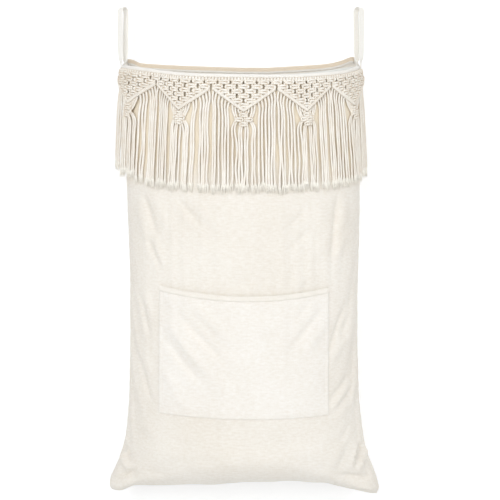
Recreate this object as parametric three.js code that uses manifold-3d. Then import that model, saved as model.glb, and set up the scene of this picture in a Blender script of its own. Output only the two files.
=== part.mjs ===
// A hanging laundry hamper: a cotton canvas sack on two fabric loops, with a D-shaped mouth that
// stands open, a patch pocket, and a macrame valance of five knotted points with a long fringe.
// Millimetres. The origin is on the door's face, midway between the two hook seats;
// +X is to the right, +Y runs into the door, +Z is up.
import * as THREE from 'three';
import { mergeVertices } from 'three/addons/utils/BufferGeometryUtils.js';
import Module from 'manifold-3d';

const wasm = await Module();
wasm.setup();

// The sack, as it hangs and stands open
const mouthWidth = 486;
const waistWidth = 454;
const bottomWidth = 540;
const rimDepth = 180;
const bellyDepth = 212;
const rimSeamSetback = 42;
const bodySeamSetback = 72;
const rimCornerDrop = 117;
const frontRimSag = 42;
const backRimCornerDrop = 94;
const backRimSag = 16;
const bottomCornerDrop = 970;
const bottomSeamRise = 29;
const bottomRounding = 80;
const rimRoundness = 1.18;
const bodyRoundness = 0.96;
const canvas = 1.6;
const sewnGap = 0.3;

// How the sack's outline changes down its height, as shares of that height
const waistShare = 0.575;
const earStartShare = 0.7;
const settleShare = 0.45;
const bellyShare = 0.6;
const backFlatShare = 0.6;
const seamEndPower = 24;
const bottomSeamPower = 2.5;

// The rim's hems and the stay inside the front one
const hemCloth = 1.2;
const frontHemOutside = 6.4;
const frontHemInside = 22;
const backHemInside = 12;
const stayThickness = 1.2;
const stayWidth = 12;

// The patch pocket
const pocketTopDrop = 557;
const pocketTopSag = 18;
const pocketBottomDrop = 798;
const pocketBottomSag = 5;
const pocketWidth = 321;
const pocketGape = 9;
const pocketHemWidth = 10;
const pocketBase = 1.2;
const pocketGapePower = 1.5;

// The hanging loops
const hookSeatRadius = 7;
const strapWidth = 14;
const strapThickness = 1.8;
const loopDrop = 94;
const loopTwist = 50 * Math.PI / 180;
const loopTwistShare = 0.415;
const strapSewnLength = 24;

// The macrame valance
const pointCount = 5;
const knotsPerPoint = 5;
const headerDrop = 10;
const headerCord = 6;
const knotRowHeight = 9;
const netRows = 5;
const knotGapWidth = 4.4;
const knotGapHeight = 5.6;
const netThickness = 3;
const knotRise = 2.6;
const ridgeWidth = 6.5;
const ridgeRise = 5;
const fringeCord = 5;
const fringeDrop = 222;
const fringeSideRise = 14;
const clusterRowDrop = 8.6;
const clusterStart = 5;
const clusterDrawInShare = 0.78;
const cordsPerKnot = 4;
const sideCordCount = 6;
const cordSpacingShare = 0.24;
const fringeStandoff = 1.6;
const sideFlareShare = 0.045;
const ridgeTailShare = 1.02;

const knotPitches = pointCount * knotsPerPoint;
const sackHeight = bottomCornerDrop - rimCornerDrop;

// Finishes: undyed cotton in its five shades, and the plastic stay
const canvasCloth = { color: 0xf4f1ea, roughness: 0.95 };
const pocketCloth = { color: 0xf8f4ee, roughness: 0.95 };
const hemTape = { color: 0xebe0d2, roughness: 0.95 };
const strapCloth = { color: 0xf5f3ec, roughness: 0.9 };
const cottonCord = { color: 0xe6ddcf, roughness: 0.9 };
const stayPlastic = { color: 0xe8e8e4, roughness: 0.5 };

const up = new THREE.Vector3(0, 0, 1);
const ease = (share) => THREE.MathUtils.smoothstep(share, 0, 1);
const mix = THREE.MathUtils.lerp;

// The half width of the side seams: drawn in at the waist, flared into the two bottom ears
function halfWidth(share) {
  const drawnIn = (mouthWidth - waistWidth) / 2 * Math.sin(Math.PI / 2 * share / waistShare) ** 2;
  const ear = Math.max(0, (share - earStartShare) / (1 - earStartShare)) ** 3;
  return mouthWidth / 2 - drawnIn + (bottomWidth - mouthWidth) / 2 * ear;
}

const seamSetback = (share) => mix(rimSeamSetback, bodySeamSetback, ease(share / settleShare));
const frontDepth = (share) => mix(rimDepth, bellyDepth, ease(share / bellyShare));
const roundness = (share) => mix(rimRoundness, bodyRoundness, ease(share / settleShare));
const heightShare = (z) => THREE.MathUtils.clamp((-rimCornerDrop - z) / sackHeight, 0, 1);

// A point of the front at an angle round its section; round is 1 on the body and 0 at the bottom seam
function frontPoint(angle, z, round, offset) {
  const share = heightShare(z);
  const power = roundness(share);
  const cos = Math.cos(angle);
  const across = Math.sign(cos) * Math.abs(cos) ** power;
  const reach = (frontDepth(share) - seamSetback(share) + offset) * round * Math.sin(angle) ** power;
  const down = offset * Math.sqrt(1 - round * round);
  return new THREE.Vector3(
    -(halfWidth(share) + offset) * across,
    -seamSetback(share) - sewnGap / 2 - reach,
    z - down,
  );
}

const acrossShare = (angle) => Math.abs(Math.cos(angle)) ** roundness(0);
const frontRimZ = (angle) => -rimCornerDrop - frontRimSag * (1 - acrossShare(angle) ** 2);
const bottomSeamZ = (across) => {
  return -bottomCornerDrop + bottomSeamRise * (1 - Math.abs(across) ** bottomSeamPower);
};

// Angles that split the rim of the front into equal lengths, one for each knot pitch
function rimAngles(count) {
  const sampleCount = 1200;
  const samples = Array.from({ length: sampleCount + 1 }, (_, i) => Math.PI * i / sampleCount);
  const points = samples.map((angle) => frontPoint(angle, frontRimZ(angle), 1, canvas));
  const lengths = [0];
  for (let i = 1; i < points.length; i += 1) {
    lengths.push(lengths[i - 1] + points[i].distanceTo(points[i - 1]));
  }
  const angles = Array.from({ length: count + 1 }, (_, k) => {
    const wanted = lengths.at(-1) * k / count;
    const found = lengths.findIndex((length) => length >= wanted);
    const i = found < 1 ? 1 : found;
    return mix(samples[i - 1], samples[i], (wanted - lengths[i - 1]) / (lengths[i] - lengths[i - 1]));
  });
  return { angles, total: lengths.at(-1) };
}

const rim = rimAngles(knotPitches);
const knotPitch = rim.total / knotPitches;
const rimPoints = rim.angles.map((angle) => frontPoint(angle, frontRimZ(angle), 1, canvas));
const rimNormals = rimPoints.map((_, k) => {
  const before = rimPoints[Math.max(0, k - 1)];
  const after = rimPoints[Math.min(knotPitches, k + 1)];
  return new THREE.Vector3(after.y - before.y, before.x - after.x, 0).normalize();
});

// The front panel's rows: the body's, from the rim to where the bottom starts to turn back, and the turn's
const bodyRows = 10;
const roundRows = 4;
const roundStart = -bottomCornerDrop + bottomSeamRise + bottomRounding;

// How far the front stands outside its rim at a drop below it, along the rim's column k, facet by facet
function standOut(k, drop) {
  const rows = Math.max(0, drop) / (rimPoints[k].z - roundStart) * bodyRows;
  const row = Math.floor(rows);
  const [above, below] = [row, row + 1].map((count) => {
    const z = mix(rimPoints[k].z, roundStart, count / bodyRows);
    return frontPoint(rim.angles[k], z, 1, canvas).sub(rimPoints[k]).dot(rimNormals[k]);
  });
  return mix(above, below, rows - row);
}

// A point of the trim: knot pitches along the rim, a drop below it and a distance out of the canvas
function trimPoint(pitches, drop, out) {
  const k = Math.min(knotPitches - 1, Math.max(0, Math.floor(pitches)));
  const along = pitches - k;
  const normal = rimNormals[k].clone().lerp(rimNormals[k + 1], along).normalize();
  const lean = mix(standOut(k, drop), standOut(k + 1, drop), along);
  const flare = Math.max(lean, sideFlareShare * Math.max(0, drop - headerDrop));
  const point = rimPoints[k].clone().lerp(rimPoints[k + 1], along).addScaledVector(normal, out + flare);
  point.z -= drop;
  return point;
}

// Turns a closed mesh's faces outward and gives it its normals
function outward(geometry) {
  const position = geometry.getAttribute('position');
  const index = Array.from(geometry.index.array);
  const [a, b, c] = [new THREE.Vector3(), new THREE.Vector3(), new THREE.Vector3()];
  let volume = 0;
  for (let i = 0; i < index.length; i += 3) {
    a.fromBufferAttribute(position, index[i]);
    b.fromBufferAttribute(position, index[i + 1]);
    c.fromBufferAttribute(position, index[i + 2]);
    volume += a.dot(b.cross(c));
  }
  geometry.setIndex(volume < 0 ? index.reverse() : index);
  geometry.computeVertexNormals();
  return geometry;
}

// A solid between two like skins; the open edges of the faces, holes too, become its side walls
function shell(outer, inner, faces) {
  const count = outer.length;
  const edges = new Map();
  for (const face of faces) {
    face.forEach((from, i) => edges.set(`${from}_${face[(i + 1) % 3]}`, [from, face[(i + 1) % 3]]));
  }
  const triangles = faces.flatMap(([a, b, c]) => [a, b, c, count + a, count + c, count + b]);
  for (const [from, to] of edges.values()) {
    if (!edges.has(`${to}_${from}`)) {
      triangles.push(to, from, count + from, to, count + from, count + to);
    }
  }
  const geometry = new THREE.BufferGeometry().setFromPoints([...outer, ...inner]);
  geometry.setIndex(triangles);
  return outward(geometry);
}

// A shell whose skins are grids of rows and columns; place gives a point at a row, a column and a skin
function gridShell(rows, columns, place) {
  const skin = (isOuter) => {
    const points = [];
    for (let row = 0; row <= rows; row += 1) {
      for (let column = 0; column <= columns; column += 1) {
        points.push(place(row, column, isOuter));
      }
    }
    return points;
  };
  const faces = [];
  for (let row = 0; row < rows; row += 1) {
    for (let column = 0; column < columns; column += 1) {
      const corner = row * (columns + 1) + column;
      const below = corner + columns + 1;
      faces.push([corner, below, below + 1], [corner, below + 1, corner + 1]);
    }
  }
  return shell(skin(true), skin(false), faces);
}

// A closed tube in the trim's own measures; each stop is [pitches, drop, out, half width, half rise]
function trimTube(stops, sides) {
  const points = stops.flatMap(([pitches, drop, out, halfAcross, halfRise], i) => {
    const before = stops[Math.max(0, i - 1)];
    const after = stops[Math.min(stops.length - 1, i + 1)];
    const run = new THREE.Vector2((after[0] - before[0]) * knotPitch, after[1] - before[1]).normalize();
    return Array.from({ length: sides }, (_, side) => {
      const turn = Math.PI * 2 * side / sides;
      const across = halfAcross * Math.cos(turn);
      const rise = halfRise * Math.sin(turn);
      return trimPoint(pitches - run.y * across / knotPitch, drop + run.x * across, out + rise);
    });
  });
  const triangles = [];
  for (let ring = 0; ring < stops.length - 1; ring += 1) {
    for (let side = 0; side < sides; side += 1) {
      const next = (side + 1) % sides;
      const [a, b] = [ring * sides + side, ring * sides + next];
      triangles.push(a, b, b + sides, a, b + sides, a + sides);
    }
  }
  const last = (stops.length - 1) * sides;
  for (let side = 1; side < sides - 1; side += 1) {
    triangles.push(0, side + 1, side, last, last + side, last + side + 1);
  }
  const geometry = new THREE.BufferGeometry().setFromPoints(points);
  geometry.setIndex(triangles);
  return outward(geometry);
}

function solid(geometry) {
  const bare = geometry.clone();
  bare.deleteAttribute('normal');
  bare.deleteAttribute('uv');
  const merged = mergeVertices(bare);
  return new wasm.Manifold(new wasm.Mesh({
    numProp: 3,
    vertProperties: new Float32Array(merged.getAttribute('position').array),
    triVerts: new Uint32Array(merged.index.array),
  }));
}

// Joins closed meshes that run into each other into one
function fuse(geometries) {
  const whole = geometries.map(solid).reduce((sum, next) => sum.add(next)).getMesh();
  const geometry = new THREE.BufferGeometry();
  geometry.setAttribute('position', new THREE.BufferAttribute(new Float32Array(whole.vertProperties), 3));
  geometry.setIndex(new THREE.BufferAttribute(new Uint32Array(whole.triVerts), 1));
  geometry.computeVertexNormals();
  return geometry;
}

// The front panel: bellied canvas from the rim to the bottom seam, with its lower edge rounded back
function frontPanel() {
  return gridShell(bodyRows + roundRows, knotPitches, (row, column, isOuter) => {
    const angle = rim.angles[column];
    const offset = isOuter ? canvas : 0;
    if (row <= bodyRows) {
      return frontPoint(angle, mix(frontRimZ(angle), roundStart, row / bodyRows), 1, offset);
    }
    const turn = Math.PI / 2 * (row - bodyRows) / roundRows;
    const across = Math.abs(Math.cos(angle)) ** roundness(1);
    const z = mix(roundStart, bottomSeamZ(across), Math.sin(turn));
    return frontPoint(angle, z, row === bodyRows + roundRows ? 0 : Math.cos(turn), offset);
  });
}

// The back's section: flat against the door, with rounded sides that run forward to the seams
const backColumns = 14;
const backSideColumns = 4;

function backSection(column) {
  const fromSide = Math.min(column, backColumns - column);
  const side = column < backColumns / 2 ? -1 : 1;
  if (fromSide <= backSideColumns) {
    const turn = Math.PI / 2 * (1 - fromSide / backSideColumns);
    return { across: side * (backFlatShare + (1 - backFlatShare) * Math.sin(turn)), reach: Math.cos(turn) };
  }
  const flat = (fromSide - backSideColumns) / (backColumns / 2 - backSideColumns);
  return { across: side * backFlatShare * (1 - flat), reach: 1 };
}

// A point of the back; inset is how far inside the outer skin it lies
function backPoint(column, z, round, inset) {
  const share = heightShare(z);
  const { across, reach } = backSection(column);
  const seam = -seamSetback(share) + sewnGap / 2;
  return new THREE.Vector3(
    (halfWidth(share) + canvas - inset) * across,
    seam + (-seam - inset) * reach * round,
    z + (inset - canvas) * Math.sqrt(1 - round * round),
  );
}

function backRimZ(column) {
  const across = Math.abs(backSection(column).across);
  const cornerDip = rimCornerDrop - backRimCornerDrop;
  return -backRimCornerDrop - backRimSag * (1 - across ** 2) - cornerDip * across ** seamEndPower;
}

function backPanel() {
  return gridShell(bodyRows + roundRows, backColumns, (row, column, isOuter) => {
    const inset = isOuter ? 0 : canvas;
    if (row <= bodyRows) {
      return backPoint(column, mix(backRimZ(column), roundStart, row / bodyRows), 1, inset);
    }
    const turn = Math.PI / 2 * (row - bodyRows) / roundRows;
    const z = mix(roundStart, bottomSeamZ(backSection(column).across), Math.sin(turn));
    return backPoint(column, z, row === bodyRows + roundRows ? 0 : Math.cos(turn), inset);
  });
}

// The front hem: canvas tape folded over the rim, its inner leg the longer one, round the stay
const hemChannel = canvas + stayThickness + 3 * sewnGap;
const hemEnd = 0.12;

function frontHem() {
  const outerFace = [
    [frontHemOutside, sewnGap + hemCloth],
    [-sewnGap - hemCloth, sewnGap + hemCloth],
    [-sewnGap - hemCloth, sewnGap - hemChannel - hemCloth],
    [frontHemInside, sewnGap - hemChannel - hemCloth],
  ];
  const innerFace = [
    [frontHemOutside, sewnGap],
    [-sewnGap, sewnGap],
    [-sewnGap, sewnGap - hemChannel],
    [frontHemInside, sewnGap - hemChannel],
  ];
  return gridShell(outerFace.length - 1, knotPitches, (row, column, isOuter) => {
    const [drop, out] = (isOuter ? outerFace : innerFace)[row];
    return rimTrim(column, drop, out);
  });
}

// A place on the rim's own upright wall, kept a little short of the side seams
function rimTrim(column, drop, out) {
  const pitches = THREE.MathUtils.clamp(column, hemEnd, knotPitches - hemEnd);
  const k = Math.min(knotPitches - 1, Math.floor(pitches));
  const along = pitches - k;
  const normal = rimNormals[k].clone().lerp(rimNormals[k + 1], along).normalize();
  const lean = mix(standOut(k, drop), standOut(k + 1, drop), along);
  const point = rimPoints[k].clone().lerp(rimPoints[k + 1], along).addScaledVector(normal, out + lean);
  point.z -= drop;
  return point;
}

// The stay: a flat plastic strip on edge inside the front hem, which bows the mouth open
function mouthStay() {
  const inFace = -canvas - sewnGap - stayThickness;
  return gridShell(1, knotPitches, (row, column, isOuter) => {
    const drop = sewnGap + row * stayWidth;
    return rimTrim(column, drop, isOuter ? -canvas - sewnGap : inFace);
  });
}

// The back hem: tape folded over the back rim and down the inside
function backHem() {
  const outerFace = [[-sewnGap - hemCloth, 0], [-sewnGap - hemCloth, 1], [backHemInside, 1]];
  const innerFace = [[-sewnGap, 0], [-sewnGap, 1], [backHemInside, 1]];
  const inset = canvas + 2 * sewnGap;
  return gridShell(outerFace.length - 1, backColumns - 2, (row, column, isOuter) => {
    const [drop, inside] = (isOuter ? outerFace : innerFace)[row];
    const depth = inside * (isOuter ? inset + hemCloth : inset);
    const z = backRimZ(column + 1) - drop;
    return backPoint(column + 1, z, 1, depth);
  });
}

const angleStep = Math.PI / 3000;

// A point on the front by its place across, for what is sewn to the front panel
function frontAcross(x, z, out) {
  const share = heightShare(z);
  const across = -x / (halfWidth(share) + canvas);
  const angle = Math.acos(Math.sign(across) * Math.abs(across) ** (1 / roundness(share)));
  const here = frontPoint(angle, z, 1, canvas);
  const next = frontPoint(angle + angleStep, z, 1, canvas);
  const normal = new THREE.Vector3(next.y - here.y, here.x - next.x, 0).normalize();
  return here.addScaledVector(normal, out);
}

const pocketColumns = 10;
const pocketRows = 6;
const sagAt = (sag, across) => sag * (1 - across ** 2);

// The pocket's cloth stands off the front towards its open top, most in the middle
function pocketPlace(across, down, isOuter, gapTop) {
  const top = -pocketTopDrop - sagAt(pocketTopSag, across) - gapTop;
  const z = mix(top, -pocketBottomDrop - sagAt(pocketBottomSag, across), down);
  const gape = pocketGape * (1 - across ** 2) * (1 - down) ** pocketGapePower;
  return frontAcross(across * pocketWidth / 2, z, pocketBase + gape + (isOuter ? canvas : 0));
}

function pocketPanel() {
  return gridShell(pocketRows, pocketColumns, (row, column, isOuter) => {
    const across = 2 * column / pocketColumns - 1;
    return pocketPlace(across, row / pocketRows, isOuter, pocketHemWidth + sewnGap);
  });
}

// The pocket's hem: the doubled strip along its open edge, a little thicker than the pocket's cloth
function pocketHem() {
  return gridShell(1, pocketColumns, (row, column, isOuter) => {
    const across = 2 * column / pocketColumns - 1;
    const place = pocketPlace(across, 0, isOuter, row * pocketHemWidth);
    place.y -= isOuter ? hemCloth : 0;
    return place;
  });
}

// A place beside the rim's corner: pitches in from its side seam, level with the seam's own rim height
function cornerPlace(isRight, inFromSeam, drop, out) {
  const pitches = isRight ? knotPitches - inFromSeam : inFromSeam;
  const point = rimTrim(pitches, 0, out);
  const rimHeight = drop < 0 ? -rimCornerDrop : point.z;
  point.z = rimHeight - drop;
  return point;
}

// The strap's two faces at the rim's corner: its outer leg goes outside the hem, its inner leg inside
const strapSpan = strapWidth / knotPitch;
const outerLegFace = 2 * sewnGap + hemCloth;
const innerLegFace = -hemChannel - hemCloth - strapThickness;
const legGap = outerLegFace - innerLegFace - strapThickness;

// A hanging loop: one strap turned over its hook, both legs running down to the rim's corner.
// It is laid out across X, then turned: along the rim's wall at its foot, towards the front above.
const loopBendSteps = 7;
const loopTwistSteps = 9;

// One face of the strap from the foot of one leg over the hook to the foot of the other, as X and Z
function loopFace(out) {
  const leg = (side) => Array.from({ length: loopTwistSteps + 1 }, (_, step) => {
    const raised = loopTwistShare * step / loopTwistSteps;
    const reach = mix(legGap / 2, hookSeatRadius, raised) + out;
    return new THREE.Vector2(side * reach, mix(-loopDrop, 0, raised));
  });
  const radius = hookSeatRadius / Math.cos(Math.PI / 2 / loopBendSteps) + out;
  const bend = Array.from({ length: loopBendSteps + 1 }, (_, step) => {
    const turn = Math.PI * step / loopBendSteps;
    return new THREE.Vector2(radius * Math.cos(turn), radius * Math.sin(turn) - hookSeatRadius);
  });
  return [...leg(1), ...bend, ...leg(-1).reverse()];
}

function hangingLoop(isRight) {
  const [outer, inner] = [loopFace(strapThickness), loopFace(0)];
  const [start, end] = [0, strapSpan].map((span) => cornerPlace(isRight, hemEnd + span, 0, 0));
  const wall = Math.atan2(Math.abs(end.x - start.x), Math.abs(end.y - start.y));
  const middleOut = (outerLegFace + strapThickness + innerLegFace) / 2;
  const foot = cornerPlace(isRight, hemEnd + strapSpan / 2, 0, middleOut).setZ(0);
  return gridShell(outer.length - 1, 1, (row, column, isOuter) => {
    const { x, y: z } = (isOuter ? outer : inner)[row];
    const turn = mix(wall, loopTwist, ease((z / loopDrop + 1) / loopTwistShare));
    const place = new THREE.Vector3(x, (column - 0.5) * strapWidth, z);
    return place.applyAxisAngle(up, isRight ? -turn : turn).add(foot);
  });
}

// The strap's sewn ends: one leg's end outside the rim's corner, the other's inside it
function sewnEnd(isRight, isOutside) {
  const top = loopDrop - rimCornerDrop + sewnGap;
  const bottom = isOutside ? headerDrop - headerCord / 2 - sewnGap : strapSewnLength / 2;
  const face = isOutside ? outerLegFace : innerLegFace;
  return gridShell(2, 2, (row, column, isOuter) => {
    const span = hemEnd + strapSpan * column / 2;
    const drop = [top, 0, bottom][row];
    return cornerPlace(isRight, span, drop, face + (isOuter ? strapThickness : 0));
  });
}

// The header: the cord that the valance's cords are looped on, sewn along under the rim
function valanceHeader() {
  const radius = headerCord / 2;
  const out = sewnGap + radius * Math.sin(Math.PI / 3);
  const stops = Array.from({ length: knotPitches + 1 }, (_, k) => {
    const pitches = THREE.MathUtils.clamp(k, hemEnd, knotPitches - hemEnd);
    return [pitches, headerDrop, out, radius, radius];
  });
  return trimTube(stops, 6);
}

// A net of square knots in staggered rows. Sites are half a pitch apart, knots and gaps by turns;
// a place is [half pitches along, drop, whether the knot rises there].
const gapHalfWidth = knotGapWidth / knotPitch;
const gapHalfHeight = knotGapHeight / 2;
const knotRidgeShare = 0.36;

function knotNet(rows, rowDrop, topDrop, bottomDrop) {
  const places = [];
  const known = new Map();
  const at = (name, half, drop, isRaised) => {
    if (!known.has(name)) {
      known.set(name, places.length);
      places.push([half, drop, isRaised]);
    }
    return known.get(name);
  };
  const gap = (row, half, way) => {
    const [across, down] = { left: [-1, 0], right: [1, 0], top: [0, -1], bottom: [0, 1] }[way];
    const drop = rowDrop(row) + down * gapHalfHeight;
    return at(`gap ${row} ${half} ${way}`, half + across * gapHalfWidth, drop, false);
  };
  const top = (half) => at(`top ${half}`, half, topDrop, false);
  const bottom = (half) => at(`bottom ${half}`, half, bottomDrop, false);
  const faces = [];
  rows.forEach((halves, row) => {
    for (const half of halves) {
      const left = gap(row, half - 1, 'right');
      const right = gap(row, half + 1, 'left');
      const above = row === 0 ? top(half) : gap(row - 1, half, 'bottom');
      const below = row === rows.length - 1 && bottomDrop ? bottom(half) : gap(row + 1, half, 'top');
      const west = at(`west ${row} ${half}`, half - knotRidgeShare, rowDrop(row), true);
      const east = at(`east ${row} ${half}`, half + knotRidgeShare, rowDrop(row), true);
      faces.push([left, west, above], [left, below, west], [above, west, east]);
      faces.push([above, east, right], [below, right, east], [below, east, west]);
      const next = rows[row + 1] ?? [];
      if (next.includes(half + 1)) {
        faces.push([right, below, gap(row + 1, half, 'right')]);
        faces.push([right, gap(row + 1, half, 'right'), gap(row, half + 1, 'bottom')]);
      }
      if (next.includes(half - 1)) {
        faces.push([left, gap(row + 1, half, 'left'), below]);
        faces.push([left, gap(row, half - 1, 'bottom'), gap(row + 1, half, 'left')]);
      }
      if (row === 0 && halves.includes(half + 2)) {
        const lip = gap(row, half + 1, 'top');
        const across = top(half + 2);
        faces.push([above, right, lip], [above, lip, across]);
        faces.push([across, lip, gap(row, half + 1, 'right')]);
      }
      if (bottomDrop && row === rows.length - 1 && halves.includes(half + 2)) {
        const lip = gap(row, half + 1, 'bottom');
        const across = bottom(half + 2);
        faces.push([below, lip, right], [below, across, lip]);
        faces.push([across, gap(row, half + 1, 'right'), lip]);
      }
    }
  });
  return { places, faces };
}

function netShell({ places, faces }, start) {
  const skin = (rise) => places.map(([half, drop, isRaised]) => {
    return trimPoint(start + half / 2, drop, fringeStandoff + rise + (isRaised && rise ? knotRise : 0));
  });
  return shell(skin(netThickness), skin(0), faces);
}

const firstRowDrop = headerDrop + headerCord / 2 + sewnGap + knotRowHeight / 2;
const firstRowBottom = firstRowDrop + knotRowHeight / 2;

// The top knot row runs unbroken round the mouth, between the header and the five points
function topKnotRow() {
  const halves = Array.from({ length: knotPitches - 1 }, (_, k) => 2 * (k + 1));
  const net = knotNet([halves], () => firstRowDrop, firstRowDrop - knotRowHeight / 2, firstRowBottom);
  return netShell(net, 0);
}

// One point's net: rows of knots, each a knot shorter than the one above, down to a single knot
const netTop = firstRowBottom + sewnGap;
const netRowDrop = (row) => netTop + knotRowHeight * (row + 0.5);

function pointNet(start) {
  const rows = Array.from({ length: netRows }, (_, row) => {
    return Array.from({ length: knotsPerPoint - row }, (__, knot) => row + 1 + 2 * knot);
  });
  return netShell(knotNet(rows, netRowDrop, netTop, 0), start);
}

// The slanting ridge of hitches under each side of a net; half pitches from the valley to its middle line
const slope = knotRowHeight / (knotPitch / 2);
const slant = Math.hypot(1, slope);
const ridgeDrop = (pitches) => {
  const edge = netRowDrop(0) + (2 * pitches - gapHalfWidth) * knotRowHeight;
  return edge + (ridgeWidth / 2 + sewnGap) * slant;
};

const tipDrop = (pitches) => {
  const fromSeam = Math.min(pitches, knotPitches - pitches) / knotsPerPoint;
  return fringeDrop - fringeSideRise * Math.max(0, 1 - fromSeam) ** 2;
};

// A fringe cord from its hitch to its tip, resting on the canvas
function hangingCord(pitches, from, to) {
  const radius = fringeCord / 2;
  const stops = [0, 1 / 3, 1].map((share) => {
    return [pitches, mix(from, to, share), fringeStandoff + radius, radius, radius];
  });
  return trimTube(stops, 4);
}

const cordOffsets = Array.from({ length: knotsPerPoint * cordsPerKnot }, (_, cord) => {
  return (cord - (knotsPerPoint * cordsPerKnot - 1) / 2) * cordSpacingShare;
});

// The hitched ridge under one side of a net, with the cords that hang from it
function sideFringe(start, isRight) {
  const middle = start + knotsPerPoint / 2;
  const mirror = (pitches) => (isRight ? 2 * middle - pitches : pitches);
  const tail = cordOffsets[0] * ridgeTailShare;
  const nose = -(ridgeWidth / 2 * slope / slant + sewnGap) / knotPitch;
  const ridge = Array.from({ length: knotsPerPoint }, (_, i) => {
    const offset = mix(tail, nose, i / (knotsPerPoint - 1));
    const drop = ridgeDrop(offset + knotsPerPoint / 2);
    const out = fringeStandoff + ridgeRise / 2;
    return [mirror(middle + offset), drop, out, ridgeWidth / 2, ridgeRise / 2];
  });
  const cords = cordOffsets.slice(0, sideCordCount).map((offset) => {
    const pitches = mirror(middle + offset);
    return hangingCord(pitches, ridgeDrop(offset + knotsPerPoint / 2), tipDrop(pitches));
  });
  return fuse([trimTube(ridge, 6), ...cords]);
}

// The cluster under a net's tip: eight cords drawn together by four more knots, then hanging free
function apexKnots(start) {
  const middle = start + knotsPerPoint / 2;
  const radius = fringeCord / 2;
  const firstKnot = ridgeDrop(knotsPerPoint / 2) + ridgeWidth / 2 * slant + clusterStart;
  const rowDrop = (row) => firstKnot + clusterRowDrop * row;
  const rows = [[knotsPerPoint], [knotsPerPoint - 1, knotsPerPoint + 1], [knotsPerPoint]];
  const knots = knotNet(rows, rowDrop, rowDrop(-0.5), rowDrop(rows.length - 0.5));
  const inner = cordOffsets.slice(sideCordCount, cordOffsets.length - sideCordCount);
  const strands = inner.flatMap((offset) => {
    const ridgeEdge = ridgeDrop(knotsPerPoint / 2 - Math.abs(offset)) + ridgeWidth / 2 * slant;
    const from = ridgeEdge + radius * slope + sewnGap;
    const drawn = middle + offset * clusterDrawInShare;
    const row = Math.abs(offset) > 2 * cordSpacingShare ? 1 : 0;
    const height = fringeStandoff + radius;
    const upper = [[middle + offset, from], [drawn, rowDrop(row)]];
    const lower = [[drawn, rowDrop(rows.length - 1 - row)], [drawn, tipDrop(middle)]];
    return [upper, lower].map((run) => {
      return trimTube(run.map(([pitches, drop]) => [pitches, drop, height, radius, radius]), 4);
    });
  });
  return fuse([netShell(knots, start), ...strands]);
}

const group = new THREE.Group();
group.name = 'hanging_laundry_hamper';

function add(name, geometry, finish) {
  const mesh = new THREE.Mesh(geometry, new THREE.MeshStandardMaterial({ ...finish, metalness: 0 }));
  mesh.name = name;
  group.add(mesh);
}

add('front_panel', frontPanel(), canvasCloth);
add('back_panel', backPanel(), canvasCloth);
add('front_hem', frontHem(), hemTape);
add('back_hem', backHem(), hemTape);
add('mouth_stay', mouthStay(), stayPlastic);
add('pocket_panel', pocketPanel(), pocketCloth);
add('pocket_hem', pocketHem(), pocketCloth);
for (const [isRight, side] of [[false, 'left'], [true, 'right']]) {
  add(`${side}_hanging_loop`, hangingLoop(isRight), strapCloth);
  add(`${side}_strap_outer_end`, sewnEnd(isRight, true), strapCloth);
  add(`${side}_strap_inner_end`, sewnEnd(isRight, false), strapCloth);
}
add('valance_header', valanceHeader(), cottonCord);
add('top_knot_row', topKnotRow(), cottonCord);
for (let point = 1; point <= pointCount; point += 1) {
  const start = (point - 1) * knotsPerPoint;
  add(`knot_net_${point}`, pointNet(start), cottonCord);
  add(`left_fringe_${point}`, sideFringe(start, false), cottonCord);
  add(`right_fringe_${point}`, sideFringe(start, true), cottonCord);
  add(`apex_knots_${point}`, apexKnots(start), cottonCord);
}

export default group;
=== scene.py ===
"""Looks of a hanging laundry hamper: a canvas sack with a patch pocket, two strap loops, and a valance
of knotted cotton cord. Metres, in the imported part's frame: +X right, +Y into the door, +Z up, and the
origin midway between the two hook seats."""
import math

import bpy
import numpy as np
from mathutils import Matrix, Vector
from mathutils.bvhtree import BVHTree


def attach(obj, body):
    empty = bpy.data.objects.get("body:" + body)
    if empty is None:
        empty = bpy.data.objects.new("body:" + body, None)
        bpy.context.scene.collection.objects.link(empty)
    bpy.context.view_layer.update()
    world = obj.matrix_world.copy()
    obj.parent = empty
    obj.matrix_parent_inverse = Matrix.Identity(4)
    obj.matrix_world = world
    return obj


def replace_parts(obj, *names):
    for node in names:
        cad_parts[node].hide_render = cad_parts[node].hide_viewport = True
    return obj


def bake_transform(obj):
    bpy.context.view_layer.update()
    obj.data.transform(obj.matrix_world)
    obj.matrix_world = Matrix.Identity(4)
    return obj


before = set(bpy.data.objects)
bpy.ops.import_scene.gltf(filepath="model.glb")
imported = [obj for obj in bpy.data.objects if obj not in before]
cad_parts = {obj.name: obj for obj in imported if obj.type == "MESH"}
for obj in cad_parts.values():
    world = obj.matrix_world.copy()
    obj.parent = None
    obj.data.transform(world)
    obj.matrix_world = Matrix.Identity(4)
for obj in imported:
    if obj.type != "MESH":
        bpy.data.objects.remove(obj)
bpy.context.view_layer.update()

MM = 0.001

# ---------------------------------------------------------------------------------------- sizes

# The sack
RIM_DEPTH, BELLY_DEPTH = 180 * MM, 212 * MM
RIM_SEAM_SETBACK, BODY_SEAM_SETBACK = 42 * MM, 72 * MM
RIM_CORNER_DROP = 116 * MM
# The front rim: share across from the middle, and height in millimetres
FRONT_RIM = np.array([
    (-1, -116), (-0.925, -124.5), (-0.83, -132), (-0.65, -143), (-0.48, -150.3), (-0.32, -154.5),
    (-0.1, -157), (0.1, -157.3), (0.23, -157.3), (0.47, -154), (0.72, -144.8), (0.85, -137), (0.95, -126),
    (1, -116)])
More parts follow.
